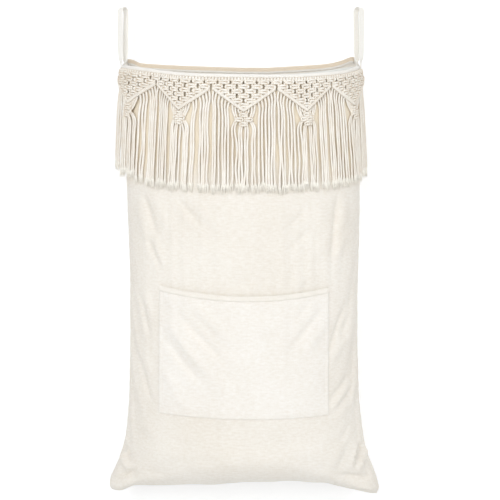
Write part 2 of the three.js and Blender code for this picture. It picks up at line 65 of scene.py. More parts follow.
# The back rim: share across from the middle, and height in millimetres
BACK_RIM = np.array([
    (-1, -116), (-0.99, -103), (-0.975, -99.5), (-0.95, -99), (-0.93, -99.5), (-0.905, -102.5),
    (-0.877, -105), (-0.7, -106.6), (-0.53, -108.4), (-0.36, -109.9), (-0.18, -111.3), (0, -112.6),
    (0.24, -112.6), (0.49, -109.2), (0.7, -106.2), (0.8, -103.6), (0.875, -99.6), (0.935, -94.5),
    (0.965, -94), (0.985, -101), (1, -116)])
# The left ear's drop, the bottom seam's rise in the middle, and the height over which the bottom turns under
BOTTOM_DROP, SEAM_RISE, BOTTOM_ROUNDING = 970 * MM, 27 * MM, 80 * MM
ROUND_START = -BOTTOM_DROP + SEAM_RISE + BOTTOM_ROUNDING
# The bottom seam: share across from the middle, and height above the left ear's in millimetres
BOTTOM_SEAM = np.array([
    (-1, 7), (-0.97, 3.5), (-0.92, 4), (-0.87, 9), (-0.81, 16), (-0.69, 16), (-0.515, 20), (-0.25, 22),
    (0, 27), (0.2, 29.5), (0.32, 29), (0.52, 26), (0.62, 23.5), (0.69, 16), (0.78, 9), (0.875, 3),
    (0.96, -2), (1, -2)])
CANVAS = 1.6 * MM
GAP = 0.3 * MM
BACK_FLAT_SHARE = 0.6
# The share of the height over which the seams step back and the section changes, and the belly comes forward
SETBACK_SHARE, BELLY_SHARE = 0.45, 0.6
# How round the section is at the rim and in the body: 1 is an ellipse, and more is more pointed
RIM_ROUNDNESS, BODY_ROUNDNESS = 1.08, 0.96

# Height, and how far the left and the right seam stand from the middle there
SEAM_LINE = np.array([
    (-94, 239, 238.5), (-130, 239, 238.5), (-250, 234, 239), (-366, 226.4, 236), (-464, 221.8, 234),
    (-524, 219.4, 231.3), (-587, 218.4, 229.6), (-680, 218.8, 230.2), (-786, 221, 234),
    (-844, 226, 240.6), (-868, 230.4, 244.4), (-890, 237.5, 249.2), (-908, 243.4, 257.4),
    (-928, 254, 265.4), (-944, 261, 271), (-958, 262, 274), (-967, 256, 276), (-973, 249, 272),
    (-977, 244, 262)]) * MM

# The rim's hems
HEM_CLOTH, STAY = 1.2 * MM, 1.2 * MM
HEM_CHANNEL = CANVAS + STAY + 3 * GAP
HEM_OUTSIDE, HEM_INSIDE, BACK_HEM_INSIDE = 6 * MM, 22 * MM, 11 * MM
HEM_END = 0.12

# The pocket
POCKET_TOP, POCKET_SAG = 557 * MM, 18 * MM
POCKET_BOTTOM, POCKET_BOTTOM_SAG = 798 * MM, 5 * MM
POCKET_HEIGHT, POCKET_HALF = POCKET_BOTTOM - POCKET_TOP, 160.5 * MM
POCKET_GAPE, POCKET_HEM = 4.5 * MM, 10 * MM

# The loops
HOOK_RADIUS, STRAP_WIDTH, STRAP = 7 * MM, 14 * MM, 1.8 * MM
LEG_FOOT, LOOP_TWIST = 112 * MM, math.radians(50)
STRAP_SEWN = 12 * MM

# The valance
POINTS, KNOTS = 5, 5
PITCHES = POINTS * KNOTS
HEADER_DROP, HEADER_RADIUS = 9 * MM, 2.2 * MM
FIRST_ROW, NET_TOP = 14.4 * MM, 19.2 * MM
KNOT_ROW, KNOT_GAP = 8.8 * MM, 4.4 * MM
RIDGE_WIDTH, RIDGE_RISE, RIDGE_TUCK = 6.5 * MM, 7 * MM, 2 * MM
CORD_RADIUS = 2.2 * MM
FRINGE_DROP, LEFT_FRINGE_RISE, RIGHT_FRINGE_RISE = 226 * MM, 30 * MM, 5 * MM
TUFT, FIBRES = 18 * MM, 13
CLUSTER_ROW, CLUSTER_START = 8.6 * MM, 5 * MM
CORDS, SIDE_CORDS, CORD_SPACING = 20, 6, 0.243
STANDOFF = 1.6 * MM
# How far the valance's sides stand out per drop, and how near a seam cords are hung, in pitches
SIDE_FLARE, SEAM_MARGIN = 0.045, 0.02


def ease(share):
    share = np.clip(share, 0, 1)
    return share * share * (3 - 2 * share)


def mix(a, b, share):
    return a + (b - a) * share


def smoothed(values, reach):
    """Values at even steps, each averaged with those up to that many steps away."""
    kernel = np.hanning(2 * reach + 1)
    return np.convolve(np.pad(values, reach, mode="edge"), kernel / kernel.sum(), mode="valid")


def lengths_along(line):
    """How far along a line of places each of them lies."""
    return np.concatenate([[0], np.cumsum(np.linalg.norm(np.diff(line, axis=0), axis=1))])


def places_at(wanted, lengths, line):
    """The places on a line that lie at the wanted lengths."""
    return np.stack([np.interp(wanted, lengths, column) for column in line.T], -1)


def places_of(x, y, z=0.0):
    """Places from their coordinates, of which some may be single numbers."""
    return np.stack(np.broadcast_arrays(x, y, z), -1)


# ---------------------------------------------------------------------------- the sack's surfaces

def smooth_column(heights, column):
    """A column of the seam line as a smooth curve through its places."""
    known = SEAM_LINE[::-1]
    fine = np.linspace(known[0, 0], known[-1, 0], 600)
    return np.interp(heights, fine, smoothed(np.interp(fine, known[:, 0], known[:, column]), 15))


def height_share(z):
    return np.clip((-RIM_CORNER_DROP - z) / (BOTTOM_DROP - RIM_CORNER_DROP), 0, 1)


def half_width(z, across):
    """How far the seam stands from the middle on the side of a place: across is below 0 on the left."""
    return np.where(across < 0, smooth_column(z, 1), smooth_column(z, 2))


def seam_setback(z):
    return mix(RIM_SEAM_SETBACK, BODY_SEAM_SETBACK, ease(height_share(z) / SETBACK_SHARE))


def front_depth(z):
    return mix(RIM_DEPTH, BELLY_DEPTH, ease(height_share(z) / BELLY_SHARE))


def roundness(z):
    return mix(RIM_ROUNDNESS, BODY_ROUNDNESS, ease(height_share(z) / SETBACK_SHARE))


def share_across(angle, z):
    """Share across from the middle, at an angle round the front's section from its left seam."""
    return -np.sign(np.cos(angle)) * np.abs(np.cos(angle)) ** roundness(z)


def front_point(angle, z, rounding, out):
    """The front at an angle round its section, from the left seam; rounding is 0 at the bottom seam."""
    angle, z, rounding = np.broadcast_arrays(angle, z, rounding)
    across = share_across(angle, z)
    bulge = np.clip(np.sin(angle), 0, 1) ** roundness(z)
    reach = (front_depth(z) - seam_setback(z) + out) * rounding * bulge
    x = (half_width(z, across) + out) * across
    y = -seam_setback(z) - GAP / 2 - reach
    return places_of(x, y, z - out * np.sqrt(1 - rounding ** 2))


def smooth_line(table, across, reach):
    """Heights along a seam as a smooth curve through the places of its table."""
    fine = np.linspace(-1, 1, 401)
    return np.interp(across, fine, smoothed(np.interp(fine, table[:, 0], table[:, 1] * MM), reach))


def front_rim_z(angle):
    return smooth_line(FRONT_RIM, share_across(angle, 0.0), 12)


def back_rim_z(across):
    return smooth_line(BACK_RIM, across, 4)


def bottom_seam_z(across):
    return -BOTTOM_DROP + smooth_line(BOTTOM_SEAM, across, 9)


def rim_tables():
    """Angles, places and outward directions at equal steps along the rim, and the pitch of its knots."""
    angles = np.linspace(0, math.pi, 4001)
    lengths = lengths_along(front_point(angles, front_rim_z(angles), 1, CANVAS))
    even = np.interp(np.linspace(0, lengths[-1], 2001), lengths, angles)
    places = front_point(even, front_rim_z(even), 1, CANVAS)
    run = np.gradient(places, axis=0)
    normals = places_of(run[:, 1], -run[:, 0])
    return even, places, normals / np.linalg.norm(normals, axis=1)[:, None], lengths[-1] / PITCHES


RIM_ANGLES, RIM_PLACES, RIM_NORMALS, PITCH = rim_tables()
RIM_PITCHES = np.linspace(0, PITCHES, len(RIM_ANGLES))

# The knots weren't tied at quite even steps: the pitch a valley or tip was planned at, and where it is
TIED_AT = np.array([(0, 0.03), (2.5, 2.6), (5, 5.68), (7.5, 7.62), (10, 10.25), (12.5, 12.72), (15, 15.27),
                    (17.5, 17.7), (20, 19.92), (22.5, 22.4), (25, 24.95)])


def along_rim(pitches, values):
    if values.ndim == 1:
        return np.interp(pitches, RIM_PITCHES, values)
    return places_at(pitches, RIM_PITCHES, values)


def tied_place(pitches):
    """Where a planned pitch really lies, on a smooth curve through the places in TIED_AT."""
    fine = np.linspace(0, PITCHES, 501)
    shift = np.interp(fine, TIED_AT[:, 0], TIED_AT[:, 1] - TIED_AT[:, 0])
    return pitches + np.interp(pitches, fine, smoothed(shift, 20))


def hang(flat, flare=SIDE_FLARE, uneven=True):
    """Flat places - along the rim, down from it, out from the canvas - put on the sack's front."""
    along, drop, out = np.asarray(flat, float).T
    wanted = along / PITCH
    pitches = np.clip(wanted, SEAM_MARGIN, PITCHES - SEAM_MARGIN)
    beyond = (wanted - pitches) * PITCH
    if uneven:
        pitches = tied_place(pitches)
    foot = along_rim(pitches, RIM_PLACES)
    normal = along_rim(pitches, RIM_NORMALS)
    lower = front_point(along_rim(pitches, RIM_ANGLES), foot[:, 2] - np.maximum(drop, 0), 1, CANVAS)
    lean = ((lower - foot) * normal).sum(1)
    away = np.maximum(lean, flare * np.maximum(0, drop - HEADER_DROP))
    tangent = places_of(-normal[:, 1], normal[:, 0])
    place = foot + normal * (out + away)[:, None] + tangent * beyond[:, None]
    place[:, 2] -= drop
    return place


# ------------------------------------------------------------------------------------ folds

# The photo's camera: its place, its lens and sensor in millimetres, and the photo's middle
CAMERA_PLACE, LENS, SENSOR, PHOTO_MIDDLE = Vector((0.018, -2.07, -0.488)), 72, 36, 250
# How deep the folds and the pocket lie
FOLD_PLANE, POCKET_PLANE = -0.19, -0.172
# Half the share of a fold's length over which it keeps its height
FOLD_SPAN = 0.42
# Where the canvas is pushed out or in: photo places of the fold's two ends, its width and its height
FOLDS = [
    # under the fringe
    ((140, 190), (157, 238), 5, -3.4), ((134, 196), (147, 246), 9, 2.4), ((150, 190), (168, 232), 9, 2.2),
    ((146, 238), (159, 268), 4.5, -3.2), ((153, 236), (166, 270), 8, 2.4), ((176, 198), (201, 227), 6, -3.4),
    ((188, 196), (222, 232), 8, 2.6), ((170, 206), (192, 236), 12, -1.6), ((200, 200), (217, 224), 5, -2.0),
    ((309, 210), (288, 227), 5.5, -2.8), ((318, 205), (326, 222), 12, 2.4), ((312, 230), (287, 251), 6, -2.8),
    ((322, 236), (324, 256), 12, 2.2), ((339, 192), (334, 260), 5, -3.6), ((347, 196), (344, 232), 9, 2.6),
    ((348, 232), (336, 262), 8, 2.6), ((228, 212), (252, 216), 12, -1.8), ((240, 226), (290, 222), 16, 1.4),
    ((196, 240), (232, 262), 10, 1.4), ((176, 246), (196, 258), 7, -1.4), ((228, 284), (268, 282), 12, -2.2),
    ((262, 280), (250, 290), 5, 1.2), ((296, 262), (288, 290), 7, -1.6), ((304, 276), (296, 290), 8, 2.0),
    # across the pocket
    ((163, 318), (214, 380), 7.5, 2.6), ((170, 322), (228, 392), 16, 3.0), ((178, 314), (227, 364), 6, -3.0),
    ((188, 300), (238, 346), 9, 2.8), ((164, 338), (203, 386), 6, -2.2), ((160, 366), (190, 412), 9, 2.2),
    ((170, 384), (188, 404), 5, -1.4),
    ((324, 308), (289, 350), 6, -3.0), ((330, 318), (300, 358), 9, 2.4), ((314, 298), (295, 320), 5, -1.8),
    ((250, 312), (272, 316), 12, -1.4),
    # right of the pocket
    ((348, 304), (330, 354), 5, -3.6), ((352, 318), (342, 338), 6, -2.4), ((352, 336), (330, 364), 8, 2.4),
    ((353, 378), (329, 403), 5, -2.8), ((352, 390), (330, 412), 6, 2.8), ((357, 390), (340, 409), 4.5, -3.0),
    ((358, 402), (334, 424), 8, 1.8), ((354, 426), (340, 448), 7, -2.0),
    # left of the pocket
    ((136, 290), (149, 342), 5, -3.2), ((143, 290), (152, 322), 8, 2.0), ((132, 352), (150, 404), 5, -3.4),
    ((140, 346), (150, 380), 8, 2.2), ((132, 380), (142, 420), 8, 2.0), ((140, 424), (160, 446), 10, 1.6),
    # the ears, set outwards because they lie further back
    ((116, 451), (127, 467), 3.6, -5.4), ((116, 462), (125, 476), 6.5, 6.4),
    ((132, 476), (104, 494), 4.5, -5.4), ((136, 485), (106, 501), 5, 4.0),
    ((367, 451), (358, 472), 3.6, -5.2), ((362, 451), (352, 472), 4, 4.4),
    ((373, 457), (360, 479), 5, 6.0), ((343, 481), (379, 489), 6, -4.8),
    ((347, 487), (383, 502), 6, 4.0), ((356, 440), (337, 474), 6, -2.0), ((345, 449), (322, 481), 10, 1.6),
    # the belly's lower edge
    ((176, 436), (226, 446), 16, 1.4), ((236, 452), (300, 446), 16, -1.2), ((140, 452), (330, 454), 14, 1.6),
]
# The same for the back, at the places that lie behind them
BACK_FOLDS = [
    ((122, 470), (160, 420), 9, -3.0), ((132, 478), (176, 448), 7, 2.6), ((150, 484), (196, 462), 10, -2.2),
    ((368, 474), (330, 424), 9, -3.0), ((358, 482), (312, 450), 7, 2.6), ((340, 484), (292, 464), 10, -2.2),
    ((136, 100), (176, 150), 10, -2.4), ((146, 96), (214, 128), 8, 1.8), ((352, 100), (312, 152), 10, -2.4),
    ((342, 96), (276, 126), 8, 1.8), ((160, 210), (176, 330), 12, -2.0), ((196, 180), (190, 300), 16, 1.6),
    ((322, 220), (308, 340), 12, -2.0), ((292, 190), (300, 280), 16, 1.6), ((214, 330), (240, 430), 14, -1.8),
    ((284, 340), (262, 420), 12, 1.6), ((180, 360), (330, 372), 18, -1.4), ((190, 250), (310, 240), 20, -1.2),
]
def from_photo(place, depth):
    """X and Z of a photo place on a plane at that depth."""
    scale = (depth - CAMERA_PLACE.y) / (2 * PHOTO_MIDDLE * LENS / SENSOR)
    right, up = place[0] - PHOTO_MIDDLE, PHOTO_MIDDLE - place[1]
    return CAMERA_PLACE.x + right * scale, CAMERA_PLACE.z + up * scale


def fold_height(x, z, folds=FOLDS):
    """How far the folds push the canvas out: each is a ridge or a valley that fades at its ends."""
    total = np.zeros(np.shape(x))
    for start, end, width, height in folds:
        (x0, z0), (x1, z1) = from_photo(start, FOLD_PLANE), from_photo(end, FOLD_PLANE)
        run = np.array([x1 - x0, z1 - z0])
        length = np.linalg.norm(run)
        run /= length
        along = ((x - x0) * run[0] + (z - z0) * run[1]) / length
        off = (z - z0) * run[0] - (x - x0) * run[1]
        ends = np.exp(-((along - 0.5) / FOLD_SPAN) ** 4)
        total += height * MM * ends * np.exp(-(off / (width * MM)) ** 2)
    return total


def soft_noise(x, z, size, seed, waves=9):
    """A smooth random height of about one, built from a few slanted waves."""
    rng = np.random.default_rng(seed)
    total = np.zeros(np.shape(x))
    for _ in range(waves):
        turn, phase, stretch = rng.uniform(0, math.pi), rng.uniform(0, 2 * math.pi), rng.uniform(0.6, 1.7)
        total += np.sin((x * math.cos(turn) + z * math.sin(turn)) * 2 * math.pi / (size * stretch) + phase)
    return total / 3


# ------------------------------------------------------------------------------------ mesh tools

def new_mesh(name, points, faces):
    mesh = bpy.data.meshes.new(name)
    mesh.from_pydata(np.asarray(points).tolist(), [], [tuple(map(int, face)) for face in faces])
    return mesh


def new_object(name, data):
    obj = bpy.data.objects.new(name, data)
    bpy.context.scene.collection.objects.link(obj)
    return obj


def new_piece(name, points, faces, finish, cloth=None, cord=None):
    """A smooth mesh object; cloth and cord hold each point's place in its flat cut or on its cord."""
    mesh = new_mesh(name, points, faces)
    mesh.polygons.foreach_set("use_smooth", [True] * len(mesh.polygons))
    for label, values in (("cloth_place", cloth), ("cord_place", cord)):
        if values is not None:
            attribute = mesh.attributes.new(label, "FLOAT_VECTOR", "POINT")
            attribute.data.foreach_set("vector", np.asarray(values, np.float32).ravel())
    mesh.materials.append(finish)
    return new_object(name, mesh)


def grid_faces(grid, flip=False):
    """Faces between the rows and columns of a grid of places."""
    rows, columns = grid.shape[:2]
    corner = (np.arange(rows - 1)[:, None] * columns + np.arange(columns - 1)[None]).ravel()
    quads = np.stack([corner, corner + columns, corner + columns + 1, corner + 1], -1)
    return quads[:, ::-1] if flip else quads


def grid_normals(grid):
    down, across = np.gradient(grid, axis=0), np.gradient(grid, axis=1)
    normals = np.cross(down, across)
    return normals / np.maximum(np.linalg.norm(normals, axis=-1, keepdims=True), 1e-12)


def closed_band(name, rows, finish, flat):
    """A piece whose rows of places run round its closed section, with both ends capped."""
    count, columns = rows.shape[:2]
    faces = (grid_faces(np.concatenate([rows, rows[:1]])) % (count * columns)).tolist()
    start = [row * columns for row in range(count)]
    faces += [start, [corner + columns - 1 for corner in start][::-1]]
    return new_piece(name, rows.reshape(-1, 3), faces, finish, cloth=flat.reshape(-1, 3))


def smooth_path(control, step):
    """Points at even steps on a smooth curve through the control places."""
    control = np.asarray(control, float)
    padded = np.vstack([2 * control[0] - control[1], control, 2 * control[-1] - control[-2]])
    parts = []
    for a, b, c, d in zip(padded, padded[1:], padded[2:], padded[3:]):
        t = np.linspace(0, 1, 13)[:-1, None]
        parts.append(0.5 * (2 * b + (c - a) * t + (2 * a - 5 * b + 4 * c - d) * t ** 2
                            + (3 * b - a - 3 * c + d) * t ** 3))
    line = np.vstack(parts + [control[-1:]])
    lengths = lengths_along(line)
    count = max(3, int(round(lengths[-1] / step)) + 1)
    return places_at(np.linspace(0, lengths[-1], count), lengths, line)


def tube(path, radius, sides=8, twist=0.0, lobes=0.0, flat=1.0, side=None):
    """A closed tube round a path: its points, faces and cord places (round as cosine and sine, along)."""
    path = np.asarray(path, float)
    count = len(path)
    radius = np.broadcast_to(np.asarray(radius, float), count)
    run = np.gradient(path, axis=0)
    run /= np.linalg.norm(run, axis=1)[:, None]
    if side is None:
        side = np.cross(run[0], (0.0, 0.0, 1.0) if abs(run[0][2]) < 0.9 else (1.0, 0.0, 0.0))
    sides_out = np.empty((count, 3))
    for i in range(count):
        side = side - run[i] * (side @ run[i])
        side /= np.linalg.norm(side)
        sides_out[i] = side
    up = np.cross(sides_out, run)
    along = lengths_along(path)
    angle = np.arange(sides) * 2 * math.pi / sides
    strand = angle[None] - twist * along[:, None]
    reach = radius[:, None] * (1 + lobes * np.cos(3 * strand))
    points = (path[:, None] + sides_out[:, None] * (reach * np.cos(angle))[..., None]
              + up[:, None] * (reach * np.sin(angle) * flat)[..., None]).reshape(-1, 3)
    ring = np.arange(count - 1)[:, None] * sides
    here, after = np.arange(sides)[None], (np.arange(sides)[None] + 1) % sides
    quads = np.stack([ring + here, ring + after, ring + sides + after, ring + sides + here], -1)
    last = (count - 1) * sides
    faces = quads.reshape(-1, 4).tolist()
    faces += [list(range(sides))[::-1], list(range(last, last + sides))]
    places = places_of(np.cos(strand), np.sin(strand), along[:, None])
    return points, faces, places.reshape(-1, 3)


class Bundle:
    """Cords gathered into one mesh, laid out flat and hung on the sack at the end."""

    def __init__(self):
        self.points, self.faces, self.places, self.count = [], [], [], 0

    def add(self, part, shift=(0, 0, 0), scale=(1, 1, 1), start=0.0):
        """Adds a tube, moved and scaled; start is how far along its cord it begins."""
        points, faces, places = part
        order = -1 if scale[0] < 0 else 1
        self.points.append(points * scale + shift)
        self.places.append(places + (0, 0, start))
        self.faces += [[corner + self.count for corner in face[::order]] for face in faces]
        self.count += len(points)

    def piece(self, name, finish, body=None, flare=SIDE_FLARE):
        places = hang(np.vstack(self.points), flare)
        obj = new_piece(name, places, self.faces, finish, cord=np.vstack(self.places))
        if body:
            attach(obj, body)
        return obj


# ------------------------------------------------------------------------------------ finishes

def node_group(name, inputs, outputs):
    """An empty shader node group with those sockets, and its input and output nodes."""
    group = bpy.data.node_groups.new(name, "ShaderNodeTree")
    kinds = {"value": "NodeSocketFloat", "colour": "NodeSocketColor", "vector": "NodeSocketVector"}
    for label, kind, default in inputs:
        socket = group.interface.new_socket(label, in_out="INPUT", socket_type=kinds[kind])
        if default is not None:
            socket.default_value = default
    for label, kind in outputs:
        group.interface.new_socket(label, in_out="OUTPUT", socket_type=kinds[kind])
    return group, group.nodes.new("NodeGroupInput"), group.nodes.new("NodeGroupOutput")


class Wiring:
    """Short words for placing and joining shader nodes."""

    def __init__(self, tree):
        self.tree = tree

    def node(self, kind, settings=(), *parts, **inputs):
        """A node with those settings: parts feed its first sockets in order, and inputs feed them by name."""
        made = self.tree.nodes.new(kind)
        for name, value in dict(settings).items():
            setattr(made, name, value)
        for socket, value in zip(made.inputs, parts):
            self.feed(socket, value)
        for name, value in inputs.items():
            self.feed(made.inputs[name.replace("_", " ")], value)
        return made

    def feed(self, socket, value):
        if isinstance(value, bpy.types.NodeSocket):
            self.tree.links.new(value, socket)
        else:
            socket.default_value = value

    def math(self, operation, a, b=0.0, clamp=False):
        return self.node("ShaderNodeMath", {"operation": operation, "use_clamp": clamp}, a, b).outputs[0]

    def times(self, a, b, clamp=False):
        return self.math("MULTIPLY", a, b, clamp)

    def plus(self, a, b, clamp=False):
        return self.math("ADD", a, b, clamp)

    def less(self, a, b):
        return self.math("SUBTRACT", a, b)

    def larger(self, *values):
        """The largest of some values."""
        most = values[0]
        for value in values[1:]:
            most = self.math("MAXIMUM", most, value)
        return most

    def noise(self, place, scale, detail=2.0, roughness=0.5):
        made = self.node("ShaderNodeTexNoise", Vector=place, Scale=scale, Detail=detail, Roughness=roughness)
        return made.outputs["Fac"]

    def grain(self, place, scale, detail=2.0, roughness=0.5):
        """Noise with its own scale along each direction."""
        stretched = self.node("ShaderNodeMapping", Vector=place, Scale=scale).outputs["Vector"]
        return self.noise(stretched, 1.0, detail, roughness)

    def range(self, value, low, high, to_low, to_high):
        return self.node("ShaderNodeMapRange", (), value, low, high, to_low, to_high).outputs["Result"]

    def blend(self, share, a, b):
        made = self.node("ShaderNodeMix", {"data_type": "RGBA"}, share)
        self.feed(made.inputs[6], a)
        self.feed(made.inputs[7], b)
        return made.outputs[2]

    def relief(self, shader, height, strength, distance):
        """Fine height on a shader's surface."""
        bump = self.node("ShaderNodeBump", Height=height, Strength=strength, Distance=distance)
        self.feed(shader.inputs["Normal"], bump.outputs["Normal"])


def weave_group():
    """Plain weave: over-and-under threads of uneven thickness, with slubs. Height and tone, 0 to 1."""
    group, entry, out = node_group(
        "plain weave",
        [("Place", "vector", None), ("Threads per metre", "value", 900.0), ("Slubs", "value", 0.5)],
        [("Height", "value"), ("Tone", "value")])
    w = Wiring(group)
    place = entry.outputs["Place"]
    split = w.node("ShaderNodeSeparateXYZ", Vector=place)
    turns = w.times(entry.outputs["Threads per metre"], math.pi)
    sway = w.range(w.grain(place, (60, 60, 60)), 0, 1, -0.9, 0.9)
    warp, weft = [w.math("SINE", w.plus(w.times(split.outputs[side], turns), sway)) for side in (0, 1)]
    crossing = w.times(warp, weft)
    slubs = w.times(w.plus(w.grain(place, (900, 55, 1)), w.grain(place, (55, 900, 1))), 0.5)
    uneven = w.times(w.less(slubs, 0.5), entry.outputs["Slubs"])
    height = w.plus(w.range(crossing, -1, 1, 0.25, 0.75), w.times(uneven, 3.0), clamp=True)
    w.feed(out.inputs["Height"], height)
    w.feed(out.inputs["Tone"], w.plus(0.5, w.times(uneven, 4.0), clamp=True))
    return group


def fibre_group():
    """Twisted cotton: the grooves between a cord's strands, and the fibres that run with them."""
    group, entry, out = node_group(
        "twisted cotton",
        [("Place", "vector", None), ("Fibre", "value", 0.5), ("Strands", "value", 1.0)],
        [("Height", "value"), ("Groove", "value")])
    w = Wiring(group)
    place, strands = entry.outputs["Place"], entry.outputs["Strands"]
    cosine = w.node("ShaderNodeSeparateXYZ", Vector=place).outputs[0]
    cube = w.times(w.times(cosine, cosine), w.times(cosine, 4.0))
    ridge = w.range(w.less(cube, w.times(cosine, 3.0)), -1, 1, 0, 1)
    round_ridge = w.math("POWER", ridge, 0.6)
    hairs, fine = w.grain(place, (7, 7, 260), 3.0, 0.6), w.grain(place, (16, 16, 500), 2.0, 0.6)
    fibres = w.times(w.plus(hairs, w.times(fine, 0.6)), entry.outputs["Fibre"])
    w.feed(out.inputs["Height"], w.plus(w.times(round_ridge, strands), fibres))
    # Groove is the mask for the shade painted into the grooves between strands.
    groove = w.times(w.less(1.0, round_ridge), strands, clamp=True)
    w.feed(out.inputs["Groove"], groove)
    return group


def tone_group():
    """Slow unevenness of undyed cotton over the whole object, 0 to 1."""
    group, entry, out = node_group("cotton tone", [("Size", "value", 0.12)], [("Tone", "value")])
    w = Wiring(group)
    place = w.node("ShaderNodeTexCoord").outputs["Object"]
    w.feed(out.inputs["Tone"], w.noise(place, w.math("DIVIDE", 1.0, entry.outputs["Size"]), 3.0))
    return group


WEAVE, FIBRE, TONE = weave_group(), fibre_group(), tone_group()


def linear(colour):
    """A colour given as 0-255 display values, as Blender's linear colour."""
    values = [value / 255 for value in colour]
    return (*[v / 12.92 if v <= 0.04045 else ((v + 0.055) / 1.055) ** 2.4 for v in values], 1.0)


def new_material(name):
    material = bpy.data.materials.new(name)
    material.use_nodes = True
    return material, Wiring(material.node_tree)


def start_material(name, roughness, sheen):
    """A material, the wiring of its nodes, and its shader set to a matt surface with a soft sheen."""
    material, w = new_material(name)
    shader = w.tree.nodes["Principled BSDF"]
    for label, value in (("Roughness", roughness), ("Specular IOR Level", 0.25), ("Sheen Weight", sheen),
                         ("Sheen Roughness", 0.5)):
        shader.inputs[label].default_value = value
    return material, w, shader


def cloth_finish(name, light, dark, threads=900.0, slubs=0.5, depth=0.35, fuzz=0.15, painted_lighting=None):
    """Woven cotton: a light and a dark shade mixed by the weave and the slow tone, with the weave's relief.
    Its last argument is a band of painted light and shade: the painted colour, and the two cloth heights
    between which the cloth changes to it."""
    material, w, shader = start_material(name, 0.92, fuzz)
    place = w.node("ShaderNodeAttribute", {"attribute_name": "cloth_place"}).outputs["Vector"]
    weave = w.node("ShaderNodeGroup", {"node_tree": WEAVE}, Place=place, Slubs=slubs,
                   Threads_per_metre=threads)
    tone = w.node("ShaderNodeGroup", {"node_tree": TONE}, Size=0.11).outputs["Tone"]
    mottle = w.grain(place, (110, 260, 1), 3.0, 0.65)
    slow = w.range(w.plus(w.times(tone, 0.35), w.times(mottle, 0.65)), 0.36, 0.64, 0, 0.6)
    share = w.plus(w.times(weave.outputs["Tone"], 0.4), slow, clamp=True)
    colour = w.blend(share, linear(dark), linear(light))
    # A band of painted light and shade, changing with the cloth's height.
    if painted_lighting:
        shade, start, end = painted_lighting
        height = w.node("ShaderNodeSeparateXYZ", Vector=place).outputs[1]
        colour = w.blend(w.range(height, start, end, 0, 1), colour, linear(shade))
    w.feed(shader.inputs["Base Color"], colour)
    w.relief(shader, weave.outputs["Height"], depth, 0.4 * MM)
    return material


def cord_finish(name, light, dark, strands=0.5, fibre=0.5, depth=0.6, rim=0.9):
    """Twisted cotton: the light colour, with the dark one painted in as shade in its grooves and, by rim, as
    painted shade towards its sides.
    """
    material, w, shader = start_material(name, 0.95, 0.2)
    place = w.node("ShaderNodeAttribute", {"attribute_name": "cord_place"}).outputs["Vector"]
    twist = w.node("ShaderNodeGroup", {"node_tree": FIBRE}, Place=place, Fibre=fibre, Strands=strands)
    tone = w.node("ShaderNodeGroup", {"node_tree": TONE}, Size=0.03).outputs["Tone"]
    # Painted shade: the dark colour in the grooves between strands, and towards the sides where the surface
    # turns from view.
    groove_shade = w.times(twist.outputs["Groove"], 0.3)
    uneven = w.times(w.less(tone, 0.4), 0.4)
    edge = w.math("POWER", w.node("ShaderNodeLayerWeight", Blend=0.5).outputs["Facing"], 2.2)
    share = w.plus(w.plus(groove_shade, uneven), w.times(edge, rim), clamp=True)
    w.feed(shader.inputs["Base Color"], w.blend(share, linear(light), linear(dark)))
    w.relief(shader, twist.outputs["Height"], depth, 0.5 * MM)
    return material


CANVAS_CLOTH = cloth_finish("undyed canvas", (247, 243, 236), (240, 234, 224))
# The front canvas turns tan near its top, behind the valance: painted shade of the fringe, which also shows
# where a point is lifted away.
FRONT_CLOTH = cloth_finish("front canvas", (252, 248, 241), (235, 227, 214),
                           painted_lighting=((247, 236, 216), -0.365, -0.31))
POCKET_CLOTH = cloth_finish("pocket canvas", (255, 252, 247), (239, 232, 221))
POCKET_HEM_CLOTH = cloth_finish("pocket hem canvas", (252, 248, 241), (241, 234, 222))
HEM_TAPE = cloth_finish("rim hem canvas", (253, 251, 247), (248, 244, 237), threads=1100.0)
# The back hem's tan colours are painted shade of the rim's inside, and its light lower band is painted light.
SHADED_BACK_TAPE = cloth_finish("back hem canvas", (244, 230, 210), (233, 216, 193), threads=1100.0,
                         painted_lighting=((253, 250, 244), 0.0105, 0.0118))
STRAP_CLOTH = cloth_finish("strap twill", (255, 254, 250), (250, 246, 238), threads=1300.0, depth=0.4)
# The cord's dark colour is painted shade, laid into its grooves and towards its sides.
CORD = cord_finish("cotton cord", (255, 252, 245), (206, 178, 138), rim=1.0)
TUFT_COTTON = cord_finish("loose cotton ends", (255, 251, 242), (252, 245, 233), strands=0.0, fibre=0.3,
                          rim=0.0)
# The thread's dark colour is painted shade too, in its grooves and towards its sides.
THREAD = cord_finish("sewing thread", (254, 251, 245), (244, 237, 225), strands=0.6, fibre=0.3)


# ------------------------------------------------------------------------------------ the sack

FRONT_COLUMNS, BACK_COLUMNS, BODY_ROWS, TURN_ROWS = 94, 88, 114, 16
# How far down the fringe covers the canvas, and what the heights of the folds are multiplied by
FRINGE_COVER, FRONT_FOLD_GAIN, BACK_FOLD_GAIN = 0.33, 1.45, 1.8
# The front's unevenness: its height, how it is stretched along X and Z, its size and its seed
UNEVENNESS = ((0.7 * MM, 1.0, 0.6, 0.09, 3), (0.28 * MM, 0.8, 1.0, 0.028, 21))
# The puckers along the side seams: their height, their spacing, and how many columns in they fade
PUCKER, PUCKER_SPACING, PUCKER_REACH = 0.5 * MM, 0.023, 2.2
# How many rows and columns from a seam the canvas is held while it settles, and has no folds
HELD_STEPS, PLAIN_STEPS = 7, 3
# How far the back sags off the wall, and how uneven that is
BACK_SAG, BACK_UNEVENNESS = 4 * MM, 1.2 * MM
# How the canvas settles: frames, the share of its shift that is kept, and the most of it
SETTLE_FRAMES, SETTLE_CACHE = 26, 30
SETTLED_SHARE, SETTLED_MOST = 0.4, 6 * MM
CANVAS_FEEL = {
    "vertex_group_mass": "held", "quality": 6, "mass": 0.35, "tension_stiffness": 12,
    "compression_stiffness": 12, "shear_stiffness": 6, "bending_stiffness": 0.4, "shrink_min": -0.018,
    "use_pressure": True, "uniform_pressure_force": 0.9}


